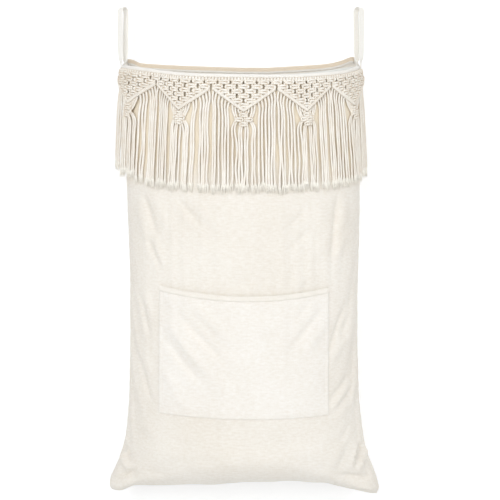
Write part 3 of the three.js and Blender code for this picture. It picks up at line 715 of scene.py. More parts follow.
def sack_rows(rim, across):
    """Heights and roundings of the rows from a rim down to the bottom seam, which the last ones turn in to
    meet; across holds the columns' shares across."""
    for row in range(BODY_ROWS + 1):
        yield mix(rim, ROUND_START, row / BODY_ROWS), 1.0
    for row in range(1, TURN_ROWS + 1):
        turn = math.pi / 2 * row / TURN_ROWS
        rounding = math.cos(turn) if row < TURN_ROWS else 0.0
        yield mix(ROUND_START, bottom_seam_z(across), math.sin(turn)), rounding


def front_grid():
    """Places and flat places of the front panel's outer face."""
    pitches = np.linspace(0, PITCHES, FRONT_COLUMNS + 1)
    angles = along_rim(pitches, RIM_ANGLES)
    rows = sack_rows(front_rim_z(angles), share_across(angles, -BOTTOM_DROP))
    grid = np.stack([front_point(angles, z, rounding, CANVAS) for z, rounding in rows])
    return grid, places_of(pitches * PITCH, grid[..., 2])


def settle(grid, free):
    """Lets the front's canvas settle with a little spare cloth, held at its seams; free is 0 where held."""
    mesh = new_mesh("settling canvas", grid.reshape(-1, 3), grid_faces(grid))
    obj = new_object("settling canvas", mesh)
    held = obj.vertex_groups.new(name="held")
    for index, share in enumerate(free.ravel()):
        held.add([index], float(1 - share), "REPLACE")
    cloth = obj.modifiers.new("Cloth", "CLOTH")
    for name, value in CANVAS_FEEL.items():
        setattr(cloth.settings, name, value)
    cloth.collision_settings.use_collision = False
    scene = bpy.context.scene
    for span in (scene, cloth.point_cache):
        span.frame_start, span.frame_end = 1, SETTLE_CACHE
    for number in range(1, SETTLE_FRAMES + 1):
        scene.frame_set(number)
    evaluated = obj.evaluated_get(bpy.context.evaluated_depsgraph_get())
    moved = np.empty(len(mesh.vertices) * 3, np.float32)
    evaluated.data.vertices.foreach_get("co", moved)
    bpy.data.objects.remove(obj)
    scene.frame_set(1)
    return moved.reshape(grid.shape).astype(float)


def finer(grid):
    """The grid with a point added between each two, on a smooth curve."""
    for axis in (0, 1):
        grid = np.moveaxis(grid, axis, 0)
        before, after = np.concatenate([grid[:1], grid[:-1]]), np.concatenate([grid[1:], grid[-1:]])
        further = np.concatenate([after[1:], after[-1:]])
        middle = (9 * (grid + after) - before - further)[:-1] / 16
        wide = np.empty((len(grid) * 2 - 1, *grid.shape[1:]))
        wide[::2], wide[1::2] = grid, middle
        grid = np.moveaxis(wide, 0, axis)
    return grid


def shape_front():
    """The front's finished places and flat places: settled, then with its folds and fine unevenness."""
    grid, flat = front_grid()
    normals = grid_normals(grid)
    column = np.arange(FRONT_COLUMNS + 1)
    from_side = np.minimum(column, FRONT_COLUMNS - column)[None]
    from_foot = (len(grid) - 1 - np.arange(len(grid)))[:, None]
    below_fringe = ease((-grid[..., 2] - FRINGE_COVER) / 0.10)
    free = ease(from_side / HELD_STEPS) * ease(from_foot / HELD_STEPS) * below_fringe
    moved = settle(grid, free)
    shift = ((moved - grid) * normals).sum(-1)
    shift = shift - (free * shift).sum() / max(free.sum(), 1) * free
    shift = SETTLED_SHARE * np.clip(shift, -SETTLED_MOST, SETTLED_MOST) * free
    grid = grid + normals * shift[..., None]
    x, z = grid[..., 0], grid[..., 2]
    height = FRONT_FOLD_GAIN * fold_height(x, z) * ease((-z - FRINGE_COVER) / 0.05)
    for high, along_x, along_z, size, seed in UNEVENNESS:
        height = height + high * soft_noise(x * along_x, z * along_z, size, seed) * below_fringe
    pucker = PUCKER * np.sin(z * 2 * math.pi / PUCKER_SPACING) * np.exp(-from_side / PUCKER_REACH)
    height = height * (ease(from_side / PLAIN_STEPS) * ease(from_foot / PLAIN_STEPS)) + pucker * below_fringe
    return finer(grid + normals * height[..., None]), finer(flat)


def back_section(columns):
    """Across and reach shares of the back's section from the left seam to the right one."""
    corner = columns // 4
    turn = np.linspace(0, math.pi / 2, corner + 1)
    side = BACK_FLAT_SHARE + (1 - BACK_FLAT_SHARE) * np.cos(turn)
    reach = np.sin(turn)
    middle = np.linspace(-BACK_FLAT_SHARE, BACK_FLAT_SHARE, columns - 2 * corner + 1)[1:-1]
    across = np.concatenate([-side, middle, side[::-1]])
    return across, np.concatenate([reach, np.ones(len(middle)), reach[::-1]])


def back_point(across, reach, z, rounding, inset):
    """The back at a place of its section, a distance in from its outer face."""
    seam = -seam_setback(z) + GAP / 2
    x = (half_width(z, across) + CANVAS - inset) * across
    y = seam + (-seam - inset) * reach * rounding
    return places_of(x, y, z + (inset - CANVAS) * np.sqrt(1 - rounding ** 2))


def shape_back():
    across, reach = back_section(BACK_COLUMNS)
    rows = sack_rows(back_rim_z(across), across)
    grid = np.stack([back_point(across, reach, z, rounding, 0.0) for z, rounding in rows])
    x, z = grid[..., 0], grid[..., 2]
    sag = soft_noise(x, z * 0.5, 0.14, 5) * BACK_UNEVENNESS - BACK_SAG
    sag += fold_height(x, z, BACK_FOLDS) * BACK_FOLD_GAIN
    inside = ease((1 - np.abs(across[None])) / 0.15)
    grid[..., 1] += np.minimum(0, sag) * inside * ease((-z - 0.13) / 0.05)
    return grid, places_of(x, z)


def sheet_piece(name, grid, flat, finish, outward):
    """A cloth piece of canvas thickness, grown inward from its outer face."""
    faces = grid_faces(grid, not outward)
    obj = new_piece(name, grid.reshape(-1, 3), faces, finish, cloth=flat.reshape(-1, 3))
    thick = obj.modifiers.new("Thickness", "SOLIDIFY")
    thick.thickness = CANVAS
    thick.offset = -1
    return obj


front_places, front_flat = shape_front()
sack_front = sheet_piece("sack_front", front_places, front_flat, FRONT_CLOTH, True)
back_places, back_flat = shape_back()
sack_back = sheet_piece("sack_back", back_places, back_flat, CANVAS_CLOTH, False)
for obj, node in ((sack_front, "front_panel"), (sack_back, "back_panel")):
    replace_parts(obj, node)
    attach(obj, "bag")

front_tree = BVHTree.FromPolygons(front_places.reshape(-1, 3).tolist(), grid_faces(front_places).tolist())


# ------------------------------------------------------------------------------------ hems

# How far across the back rim its tape reaches, as a share to each side, and how far in from the back's outer
# face the tape's inner half starts
BACK_HEM_END, BACK_HEM_INSET = 0.974, CANVAS + 2 * GAP
# The tapes' soft edges, the round of a tape over the rim, and a tape's length per column in its flat cut
TAPE_SOFT, TAPE_ROUND, TAPE_STEP = 0.4 * MM, 0.8 * MM, 3 * MM
# The wave of the front tape's outside, and how fast it runs along the rim
TAPE_WAVE, WAVE_TURNS = 0.25 * MM, 4.1


def hem_piece(name, section, line, finish):
    """A hem's tape: a closed section of (drop, out) places swept along a line of rows."""
    rows = np.stack([line(drop, out) for drop, out in section])
    lengths = np.cumsum([0] + [math.dist(a, b) for a, b in zip(section, section[1:])])
    flat = places_of(np.arange(rows.shape[1])[None] * TAPE_STEP, lengths[:, None])
    obj = closed_band(name, rows, finish, flat)
    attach(obj, "bag")
    return obj


def folded_section(outside, inside, channel, first, cloth):
    """A tape folded over an edge, as (drop, out) places. It reaches down by outside in front of the edge and
    by inside behind it, first is its gap in front, and channel is the room between its halves."""
    top, inner = -first - cloth, first - channel
    face, back = first + cloth, inner - cloth
    middle, half = (face + back) / 2, (face - back) / 2
    section = [(outside, first + cloth * 0.5), (outside - TAPE_SOFT, face), (outside * 0.5, face)]
    section += [(top + TAPE_ROUND - TAPE_ROUND * math.sin(turn), middle + half * math.cos(turn))
                for turn in np.linspace(0, math.pi, 7)]
    section += [(inside * 0.5, back), (inside - TAPE_SOFT, back), (inside, inner - cloth * 0.5)]
    return section + [(inside - 0.3 * MM, inner), (inside * 0.5, inner), (-first, inner), (-first, first),
                      (outside * 0.5, first), (outside - 0.3 * MM, first)]


def rim_line(drop, out):
    """Places along the front rim at a drop and a distance out of its canvas, a little wavy on its outside."""
    pitches = np.linspace(HEM_END, PITCHES - HEM_END, 200)
    wave = TAPE_WAVE * np.sin(pitches * WAVE_TURNS) * (1 if out > 0 else 0)
    return hang(places_of(pitches * PITCH, drop, out + wave), flare=0, uneven=False)


def back_line(drop, inside):
    """Places along the back rim at a drop and a distance in from the back's outer face."""
    across = np.linspace(-BACK_HEM_END, BACK_HEM_END, 120)
    reach = np.interp(across, *back_section(60))
    return back_point(across, reach, back_rim_z(across) - drop, 1.0, inside)


RIM_SECTION = folded_section(HEM_OUTSIDE, HEM_INSIDE, HEM_CHANNEL, GAP, HEM_CLOTH)
BACK_TAPE_TOP, BACK_TAPE_FACE = -GAP - HEM_CLOTH, BACK_HEM_INSET + HEM_CLOTH
BACK_SECTION = [
    (BACK_TAPE_TOP, 0.3 * MM), (BACK_TAPE_TOP, BACK_TAPE_FACE - TAPE_SOFT),
    (-GAP - 0.7 * HEM_CLOTH, BACK_TAPE_FACE), (BACK_HEM_INSIDE / 2, BACK_TAPE_FACE),
    (BACK_HEM_INSIDE - TAPE_SOFT, BACK_TAPE_FACE), (BACK_HEM_INSIDE, BACK_HEM_INSET + HEM_CLOTH / 2),
    (BACK_HEM_INSIDE, BACK_HEM_INSET), (-GAP, BACK_HEM_INSET), (-GAP, 0.0), (-GAP - HEM_CLOTH * 0.6, 0.0)]

rim_hem = hem_piece("rim_hem", RIM_SECTION, rim_line, HEM_TAPE)
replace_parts(rim_hem, "front_hem")
back_edge = hem_piece("back_edge", BACK_SECTION, back_line, SHADED_BACK_TAPE)
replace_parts(back_edge, "back_hem")


# ------------------------------------------------------------------------------------ the pocket

POCKET_COLUMNS, POCKET_ROWS = 90, 66
POCKET_LEFT, POCKET_RIGHT = [from_photo(place, POCKET_PLANE)[0] for place in ((159.6, 284), (328.7, 286))]
# How the pocket's left edge leans in towards its foot, and how its right side hangs lower
POCKET_LEAN, POCKET_TILT = 1.6 * MM, 2.2 * MM
# The turned-in border: its width, its slope's width, its height, and the rows and columns across it
BORDER, BORDER_SLOPE, BORDER_HEIGHT = 4.4 * MM, 1.6 * MM, 0.8 * MM
BORDER_STEPS = np.array([0, 0.3, 0.8, 1.6, 2.8, 4.2, 5.2, 6.2, 7.4]) * MM
# Over its outermost width the pocket's edge sinks to the canvas by this much
EDGE_WIDTH, EDGE_SINK = 1.2 * MM, 1.0 * MM
# The patch's distance off the canvas, its unevenness, and the crease by its top left corner
PATCH_GAP, PATCH_UNEVENNESS, CORNER_CREASE = 0.2 * MM, 0.5 * MM, 2.2 * MM


def on_front(x, z, out):
    """Places in front of the finished front panel at X and Z."""
    places = np.empty((len(x), 3))
    for i, (across, height) in enumerate(zip(x, z)):
        hit = front_tree.ray_cast(Vector((across, -0.5, height)), Vector((0, 1, 0)))
        places[i] = (across, hit[0].y, height)
    places[:, 1] -= out
    return places


def pocket_inset(across, down):
    """How far a place on the pocket lies in from the nearest sewn edge."""
    return np.minimum((1 - np.abs(across)) * POCKET_HALF, (1 - down) * POCKET_HEIGHT)


def pocket_place(across, down, extra=0.0):
    """A place on the pocket: its share across from the middle, its share down, and a distance out."""
    across, down = np.broadcast_arrays(across, down)
    hollow = 1 - across ** 2
    top, foot = -POCKET_TOP - POCKET_SAG * hollow, -POCKET_BOTTOM - POCKET_BOTTOM_SAG * hollow
    x = mix(POCKET_LEFT - POCKET_LEAN * down, POCKET_RIGHT, (across + 1) / 2)
    z = mix(top, foot, down) - POCKET_TILT * across
    gape = POCKET_GAPE * hollow * (1 - down) ** 1.5
    crease = CORNER_CREASE * np.exp(-((across + 0.93 - down * 0.35) / 0.05) ** 2) * np.exp(-(down / 0.1) ** 2)
    inside = (1 - np.abs(across) ** 6) * np.sin(math.pi * np.clip(down, 0, 1)) ** 0.5
    soft = PATCH_UNEVENNESS * soft_noise(x, z, 0.06, 8) * inside
    border = BORDER_HEIGHT * (1 - ease((pocket_inset(across, down) - BORDER) / BORDER_SLOPE))
    out = PATCH_GAP + CANVAS + gape + crease + soft + border + extra
    return on_front(x.ravel(), z.ravel(), out.ravel()).reshape(*x.shape, 3)


def pocket_pieces():
    """The pocket's patch with its sewn edges sunk to the canvas, and the rolled hem on its open edge."""
    side, foot = BORDER_STEPS / POCKET_HALF, BORDER_STEPS / POCKET_HEIGHT
    across = np.concatenate([side - 1, np.linspace(-0.935, 0.935, POCKET_COLUMNS + 1), 1 - side[::-1]])[None]
    down = np.concatenate([np.linspace(0.012, 0.955, POCKET_ROWS + 1), 1 - foot[::-1]])[:, None]
    grid = pocket_place(across, down)
    grid[..., 1] += (1 - np.minimum(1, pocket_inset(across, down) / EDGE_WIDTH)) ** 2 * EDGE_SINK
    panel = sheet_piece("pocket_patch", grid, places_of(grid[..., 0], grid[..., 2]), POCKET_CLOTH, True)
    hem_down = POCKET_HEM / POCKET_HEIGHT
    section = [(0.0, 0.1), (-0.004, 0.4), (-0.002, 0.8), (0.006, 1.0), (hem_down * 0.6, 1.0),
               (hem_down, 1.15), (hem_down + 0.001, 0.4), (hem_down, 0.1), (hem_down * 0.5, 0.1)]
    rows = [pocket_place(across[0], np.full(across.size, share), out * MM) for share, out in section]
    rows = np.stack(rows)
    hem = closed_band("pocket_edge", rows, POCKET_HEM_CLOTH, places_of(rows[..., 0], rows[..., 2]))
    for obj, node in ((panel, "pocket_panel"), (hem, "pocket_hem")):
        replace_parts(obj, node)
        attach(obj, "bag")
    return panel, hem


pocket_patch, pocket_edge = pocket_pieces()


# ------------------------------------------------------------------------------------ stitching

# How far the stitches stand out, and how far down the rim's two rows of them run
THREAD_LIFT, OUTER_STITCH_DROP, INNER_STITCH_DROP = 0.1 * MM, 7.4 * MM, 20.3 * MM


def stitches(name, lines, body=None, length=3.2 * MM, space=1.1 * MM, radius=0.33 * MM):
    """Rows of small sunk stitches along lines of places, on a body if one is given."""
    points, faces, places, count = [], [], [], 0
    for line in lines:
        line = np.asarray(line)
        lengths = lengths_along(line)
        number = int(lengths[-1] / (length + space))
        for start in (np.arange(number) + 0.5) * lengths[-1] / number - length / 2:
            path = places_at(start + np.linspace(0, length, 4), lengths, line)
            part = tube(path, radius * np.array([0.45, 1, 1, 0.45]), 5)
            points.append(part[0])
            faces += [[corner + count for corner in face] for face in part[1]]
            places.append(part[2])
            count += len(part[0])
    obj = new_piece(name, np.vstack(points), faces, THREAD, cord=np.vstack(places))
    if body:
        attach(obj, body)
    return obj


def pocket_lines():
    """Two rows of stitches round the pocket's three sewn sides, and two along its hem."""
    steps, downs = np.linspace(-0.985, 0.985, 120), np.linspace(0.02, 0.985, 90)
    lines = []
    for half, low in ((0.988, 0.985), (0.966, 0.971)):
        for side in (-1, 1):
            lines.append(pocket_place(np.full(90, side * half), downs * low / 0.985, THREAD_LIFT))
        lines.append(pocket_place(steps * half, np.full(120, low), THREAD_LIFT))
    for share in (0.008, 0.034):
        lines.append(pocket_place(steps, np.full(120, share), 1.05 * MM))
    return lines


pocket_stitches = stitches("pocket_stitches", pocket_lines(), "bag")
rim_stitches = stitches("rim_stitches", [
    rim_line(OUTER_STITCH_DROP, GAP + HEM_CLOTH + THREAD_LIFT),
    rim_line(INNER_STITCH_DROP, GAP - HEM_CHANNEL - HEM_CLOTH - THREAD_LIFT)], "bag")
back_stitches = stitches("back_stitches", [back_line(BACK_HEM_INSIDE - 2 * MM, BACK_TAPE_FACE + THREAD_LIFT),
                                           back_line(0.8 * MM, BACK_TAPE_FACE + THREAD_LIFT)], "bag")


# ------------------------------------------------------------------------------------ the loops

def rim_place(is_right, inward, drop, out):
    """A place beside the rim's corner: pitches in from its seam, a drop, and a distance out."""
    pitches = PITCHES - inward if is_right else inward
    place = hang([(pitches * PITCH, 0.0, out)], flare=0, uneven=False)[0]
    top = -RIM_CORNER_DROP if drop < 0 else place[2]
    return np.array([place[0], place[1], top - drop])


STRAP_SPAN, STRAP_COLUMNS = STRAP_WIDTH / PITCH, 10
OUTER_LEG = 2 * GAP + HEM_CLOTH + STRAP / 2
INNER_LEG = -HEM_CHANNEL - HEM_CLOTH - STRAP / 2
# Above its foot a leg turns and draws in over these heights, and it stays this much in up to the hook
LEG_TURNS, LEG_NARROWS, LEG_TAPER = 13 * MM, 28 * MM, 1 * MM
# How much the strap thins at its edges, and how far across it its two rows of stitches run
STRAP_EDGE, STRAP_ROWS = 0.75, (0.13, 0.87)


def loop_stations(is_right):
    """The strap's two edges from its outer sewn end over the hook to its inner sewn end."""
    side = 1 if is_right else -1
    spans = [HEM_END, HEM_END + STRAP_SPAN]
    start, end = [rim_place(is_right, span, 0.0, 0.0) for span in spans]
    wall = math.atan2(abs(end[0] - start[0]), abs(end[1] - start[1]))
    foot = rim_place(is_right, HEM_END + STRAP_SPAN / 2, 0.0, (OUTER_LEG + INNER_LEG) / 2)
    radius = HOOK_RADIUS + STRAP / 2

    def across(x, z):
        """The strap's edges where it stands x from the loop's middle at the height z, turned to suit."""
        turn = -side * mix(wall, LOOP_TWIST, float(ease((z + LEG_FOOT) / LEG_TURNS)))
        spin = np.array([[math.cos(turn), -math.sin(turn)], [math.sin(turn), math.cos(turn)]])
        return [np.append(spin @ np.array([x * side, y]) + foot[:2], z)
                for y in (STRAP_WIDTH / 2, -STRAP_WIDTH / 2)]

    def leg(sign, shares):
        heights = mix(-LEG_FOOT, -HOOK_RADIUS, shares)
        narrow = ease((heights + LEG_FOOT) / LEG_NARROWS)
        reach = mix((OUTER_LEG - INNER_LEG) / 2, radius - LEG_TAPER, narrow)
        reach = reach + LEG_TAPER * ease(shares * 1.3 - 0.3)
        return [across(sign * x, z) for x, z in zip(reach, heights)]

    def sewn(drops, out):
        return [[rim_place(is_right, span, drop, out) for span in spans] for drop in drops]

    highest, shares = LEG_FOOT - RIM_CORNER_DROP - 2 * MM, np.linspace(0, 1, 42)
    outside = sewn(np.linspace(HEADER_DROP - HEADER_RADIUS - GAP, highest, 8), OUTER_LEG)
    bend = [across(radius * math.cos(turn), radius * math.sin(turn) - HOOK_RADIUS)
            for turn in np.linspace(0, math.pi, 16)[1:-1]]
    inside = sewn(np.linspace(highest, STRAP_SEWN, 10), INNER_LEG)
    return np.array(outside + leg(1, shares) + bend + leg(-1, shares[::-1]) + inside)


def strap_piece(side):
    """A hanging loop with its sewn ends, as one strap, and its two rows of stitches on both faces."""
    stations = loop_stations(side == "right")
    shares = np.linspace(0, 1, STRAP_COLUMNS + 1)
    grid = stations[:, :1] * (1 - shares[None, :, None]) + stations[:, 1:] * shares[None, :, None]
    normals, middle = grid_normals(grid), STRAP_COLUMNS // 2
    half = STRAP / 2 * np.sqrt(1 - STRAP_EDGE * np.abs(np.linspace(-1, 1, STRAP_COLUMNS + 1)) ** 8)
    faces_out = normals * half[None, :, None]
    points = np.vstack([(grid + faces_out).reshape(-1, 3), (grid - faces_out).reshape(-1, 3)])
    corners = np.arange(grid.shape[0] * grid.shape[1]).reshape(grid.shape[:2])
    faces = grid_faces(grid).tolist() + (grid_faces(grid, True) + corners.size).tolist()
    for edge, order in ((corners[:, 0], 1), (corners[:, -1], -1), (corners[0], -1), (corners[-1], 1)):
        faces += [[a, a + corners.size, b + corners.size, b][::order] for a, b in zip(edge, edge[1:])]
    flat = places_of(shares[None] * STRAP_WIDTH, lengths_along(grid[:, middle])[:, None]).reshape(-1, 3)
    strap = new_piece(f"{side}_loop_strap", points, faces, STRAP_CLOTH, cloth=np.vstack([flat, flat]))
    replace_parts(strap, f"{side}_hanging_loop", f"{side}_strap_outer_end", f"{side}_strap_inner_end")
    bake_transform(strap)
    lift = normals[:, middle] * (STRAP / 2 + 0.05 * MM)
    lines = [grid[:, 0] * (1 - share) + grid[:, -1] * share + sign * lift
             for share in STRAP_ROWS for sign in (1, -1)]
    thread = stitches(f"{side}_strap_stitches", lines, length=2.6 * MM, space=1.0 * MM, radius=0.26 * MM)
    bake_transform(thread)


for side in ("left", "right"):
    strap_piece(side)


# ------------------------------------------------------------------------------------ the valance

# The knots' cords are drawn in steps of about a millimetre: the pitch's width and a row's height in steps,
# and one step's length along the rim
DRAWN_PITCH, DRAWN_ROW = 24.8, 8.9
U = PITCH / DRAWN_PITCH
TWIST, LOBES = 2 * math.pi / (15 * MM), 0.035

FRONT_CORD = [(-8.9, -4.9, 2.6), (-8.3, -3.4, 2.8), (-6.2, -2.7, 4.0), (-2.6, -2.6, 6.6), (2.6, -2.2, 6.7),
              (6.4, -1.8, 4.6), (8.9, -0.1, 3.0), (6.6, 1.7, 4.6), (2.6, 2.3, 6.6), (-2.6, 2.7, 6.5),
              (-6.2, 2.9, 4.0), (-8.3, 3.5, 2.8), (-8.9, 4.9, 2.6)]
BACK_CORD = [(8.9, -4.9, 2.6), (9.0, -3.6, 4.4), (8.4, -2.2, 6.2), (6.6, -0.9, 4.2), (3.4, -0.4, 1.9),
             (-3.4, -0.7, 1.9), (-6.6, -1.5, 3.4), (-8.5, -1.5, 6.0), (-9.3, 0.2, 6.6), (-8.6, 1.7, 5.8),
             (-6.4, 1.6, 3.2), (-3.4, 0.9, 1.9), (3.4, 0.7, 1.9), (6.5, 1.1, 3.6), (8.5, 2.3, 6.2),
             (9.0, 3.7, 4.4), (8.9, 4.9, 2.6)]
CORE_CORD = [(3.9, -4.9, 3.2), (2.5, -2.6, 3.6), (2.2, 0.0, 3.6), (2.5, 2.6, 3.6), (3.9, 4.9, 3.2)]


def knot_parts(height):
    """The cords of a square knot: one in front, one behind, and the two that they are tied round."""
    step = np.array((U, height / DRAWN_ROW, MM))
    cords = [tube(smooth_path(np.array(cord) * step, 1.5 * MM), radius, 8, TWIST, LOBES)
             for cord, radius in ((FRONT_CORD, 2.35 * MM), (BACK_CORD, 2.25 * MM))]
    return cords + [tube(smooth_path(np.array(CORE_CORD) * step * (side, 1, 1), 1.6 * MM), 2.3 * MM, 7, TWIST)
                    for side in (-1, 1)]


# A loop on the header cord: the cord's two wraps round it, and the bar across them
LARK_WRAP = [(3.0, 3.8, 3.0), (3.0, 2.4, 5.2), (3.0, 0.4, 6.3), (3.0, -1.6, 5.8), (3.0, -2.6, 4.2),
             (3.1, -2.0, 2.4), (3.2, -0.6, 1.6)]
LARK_BAR = [(-4.6, 1.9, 3.0), (-4.8, 2.8, 4.4), (-2.6, 3.5, 5.8), (0, 3.7, 6.1), (2.6, 3.5, 5.8),
            (4.8, 2.8, 4.4), (4.6, 1.9, 3.0)]


def header_pieces():
    """The cord along the rim, and the loops by which the valance's cords hang on it."""
    line = places_of(np.linspace(HEM_END, PITCHES - HEM_END, 160) * PITCH, HEADER_DROP, GAP + 3 * MM)
    header, loops = Bundle(), Bundle()
    header.add(tube(line, HEADER_RADIUS, 10, TWIST, LOBES))
    obj = header.piece("header_cord", CORD, "bag", flare=0)
    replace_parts(obj, "valance_header")
    parts = [tube(smooth_path(np.array(LARK_WRAP) * (side * U, MM, MM), 1.5 * MM), 2.5 * MM, 8, TWIST,
                  flat=0.6, side=(1.0, 0.0, 0.0)) for side in (-1, 1)]
    parts.append(tube(smooth_path(np.array(LARK_BAR) * (U, MM, MM), 1.6 * MM), 1.8 * MM, 6, TWIST))
    rng = np.random.default_rng(11)
    for number in range(2 * (PITCHES - 1)):
        along = (number / 2 + 0.75) * PITCH
        for part in parts:
            loops.add(part, (along + rng.normal(0, 0.15 * MM), HEADER_DROP + rng.normal(0, 0.15 * MM), 0))
    return obj, loops.piece("header_loops", CORD, "bag", flare=0)


def knots_at(bundle, sites, seed, height=KNOT_ROW, width=1.0):
    """Square knots at (along, drop) places, each a little uneven, as hand-tied ones are."""
    rng = np.random.default_rng(seed)
    parts = knot_parts(height)
    for along, drop in sites:
        scale = (-width if rng.random() < 0.5 else width, 1, rng.uniform(0.96, 1.05))
        place = (along, drop, STANDOFF - 1.4 * MM + rng.normal(0, 0.25 * MM))
        for part in parts:
            bundle.add(part, place, scale, rng.uniform(0, 1))


# A ridge's fall per length along the rim, and its slanting length for each of those lengths
SLOPE = KNOT_ROW / (PITCH / 2)
SLANT = math.hypot(1, SLOPE)


def net_row_drop(row):
    return NET_TOP + KNOT_ROW * (row + 0.5)


def ridge_drop(pitches):
    edge = net_row_drop(0) + (2 * pitches - KNOT_GAP / PITCH) * KNOT_ROW
    return edge + (RIDGE_WIDTH / 2 + GAP) * SLANT - RIDGE_TUCK


def tip_drop(pitches):
    """How far down the fringe ends: it rises towards both seams."""
    left, right = max(0, 1 - pitches / KNOTS), max(0, 1 - (PITCHES - pitches) / KNOTS)
    return FRINGE_DROP - LEFT_FRINGE_RISE * left ** 2 - RIGHT_FRINGE_RISE * right ** 2


def brush_drop(rng, pitches):
    """Where a cord's twist ends and its brush starts."""
    return tip_drop(pitches) - TUFT * 0.85 + rng.normal(0, 1.6 * MM)


def top_knots():
    bundle = Bundle()
    knots_at(bundle, [((k + 1) * PITCH, FIRST_ROW) for k in range(PITCHES - 1)], 21)
    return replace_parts(bundle.piece("top_knots", CORD, "bag"), "top_knot_row")


def net_piece(point):
    start = (point - 1) * KNOTS
    sites = [((start + (row + 1) / 2 + knot) * PITCH, net_row_drop(row))
             for row in range(KNOTS) for knot in range(KNOTS - row)]
    bundle = Bundle()
    knots_at(bundle, sites, 30 + point)
    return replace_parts(bundle.piece(f"net_knots_{point}", CORD, f"point_{point}"), f"knot_net_{point}")


def link_piece(point):
    """The short cords between the top row, which stays on the sack, and the point's first knots."""
    bundle = Bundle()
    for knot in range(KNOTS):
        middle = ((point - 1) * KNOTS + knot + 0.5) * PITCH
        for low, high in ((-8.9, -10.2), (-3.9, -5.0), (3.9, 5.0), (8.9, 10.2)):
            path = [(middle + high * U, NET_TOP - 2.4 * MM, STANDOFF + 1.4 * MM),
                    (middle + low * U, NET_TOP + 2.2 * MM, STANDOFF + 1.4 * MM)]
            bundle.add(tube(smooth_path(path, 1.2 * MM), 1.9 * MM, 7, TWIST))
    obj = bundle.piece(f"link_cords_{point}", CORD)
    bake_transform(obj)
    return obj


# How far off the canvas the fringe's cords hang at least, how much further some do, and how much they waver
FRINGE_OUT, FRINGE_LAYERS, CORD_WAVER = 2.6 * MM, 2.4 * MM, 0.9 * MM
# A brush's fibres: their least and most thickness, share of the tuft's length, and spread at the tip
FIBRE_THICKNESS, FIBRE_LENGTH, FIBRE_SPREAD = (0.75, 1.15), (0.7, 1.14), (2.8, 6.6)


def fringe_path(rng, start, tip_along, drop, lean):
    """A hanging cord: out from its knot, over, and down with a slight waver to where its brush starts."""
    length = drop - start[1]
    downs = np.linspace(0, 1, 12)
    waver = rng.normal(0, CORD_WAVER, 3)
    phase = rng.uniform(0, 2 * math.pi, 2)
    along = mix(start[0], tip_along, 1 - np.exp(-downs / 0.17))
    bow = lean * np.exp(-((downs * length - 13 * MM) / (17 * MM)) ** 2)
    bow = bow * np.minimum(1, downs * length / (6 * MM))
    along = along + bow + waver[0] * np.sin(downs * 6 + phase[0]) * downs
    along = along + waver[1] * np.sin(downs * 11 + phase[1]) * downs
    height = rng.uniform(0, FRINGE_LAYERS)
    out = FRINGE_OUT + height * ease(downs * 2.5) + waver[2] * 0.4 * np.sin(downs * 5 + phase[1])
    out = np.maximum(out, FRINGE_OUT - 0.3 * MM)
    out[0] = start[2]
    return places_of(along, start[1] + downs * length, out)


def add_cord(bundle, tufts, rng, path):
    """A twisted fringe cord, and the brush of loose fibres that its end is combed into."""
    line = smooth_path(path, 2.6 * MM)
    radius = np.full(len(line), CORD_RADIUS * rng.uniform(0.93, 1.04))
    radius[-3:] *= (1.0, 0.9, 0.6)
    bundle.add(tube(line, radius, 10, TWIST * rng.uniform(0.85, 1.15), LOBES), start=rng.uniform(0, 1))
    end, run = line[-2], line[-1] - line[-4]
    run = run / np.linalg.norm(run)
    for fibre in range(FIBRES):
        angle, spread = fibre * 2.4 + rng.uniform(0, 0.8), math.sqrt((fibre + 0.5) / FIBRES)
        away = np.array([math.cos(angle), 0, 0.4 * math.sin(angle)])
        root = end + away * spread * 1.4 * MM - run * 2 * MM
        tip = end + run * TUFT * rng.uniform(*FIBRE_LENGTH) + away * spread * rng.uniform(*FIBRE_SPREAD) * MM
        middle = mix(root, tip, 0.4) + away * spread * 1.0 * MM
        strand = smooth_path(np.stack([root, middle, tip]), 4 * MM)
        strand[:, 2] = np.maximum(strand[:, 2], 0.6 * MM)
        thick = rng.uniform(*FIBRE_THICKNESS) * MM
        tufts.add(tube(strand, np.linspace(1, 0.12, len(strand)) * thick, 6), start=rng.uniform(0, 1))


def cord_offset(number):
    return (number - (CORDS - 1) / 2) * CORD_SPACING


def clumped_tips():
    """Where the fringe's tips hang: evenly spread, then drawn together in small uneven bunches."""
    rng = np.random.default_rng(5)
    planned = (np.arange(POINTS * CORDS) + 0.5) / (POINTS * CORDS) * PITCHES * PITCH
    tips, first = planned.copy(), 0
    while first < len(planned):
        last = min(len(planned), first + rng.integers(2, 6))
        middle = planned[first:last].mean() + rng.normal(0, 0.7 * MM)
        tips[first:last] = mix(planned[first:last], middle, rng.uniform(0.05, 0.34))
        first = last
    return tips + rng.normal(0, 0.5 * MM, len(tips))


TIPS = clumped_tips()


def tip_place(point, number):
    return TIPS[(point - 1) * CORDS + number]


# A ridge's wraps: their number, their reach across and along the ridge, their depth, and how flat they are
WRAPS, WRAP_ACROSS, WRAP_LEAN, WRAP_DEPTH, WRAP_FLAT = 24, 2.5 * MM, 1.8 * MM, 2.3 * MM, 0.68


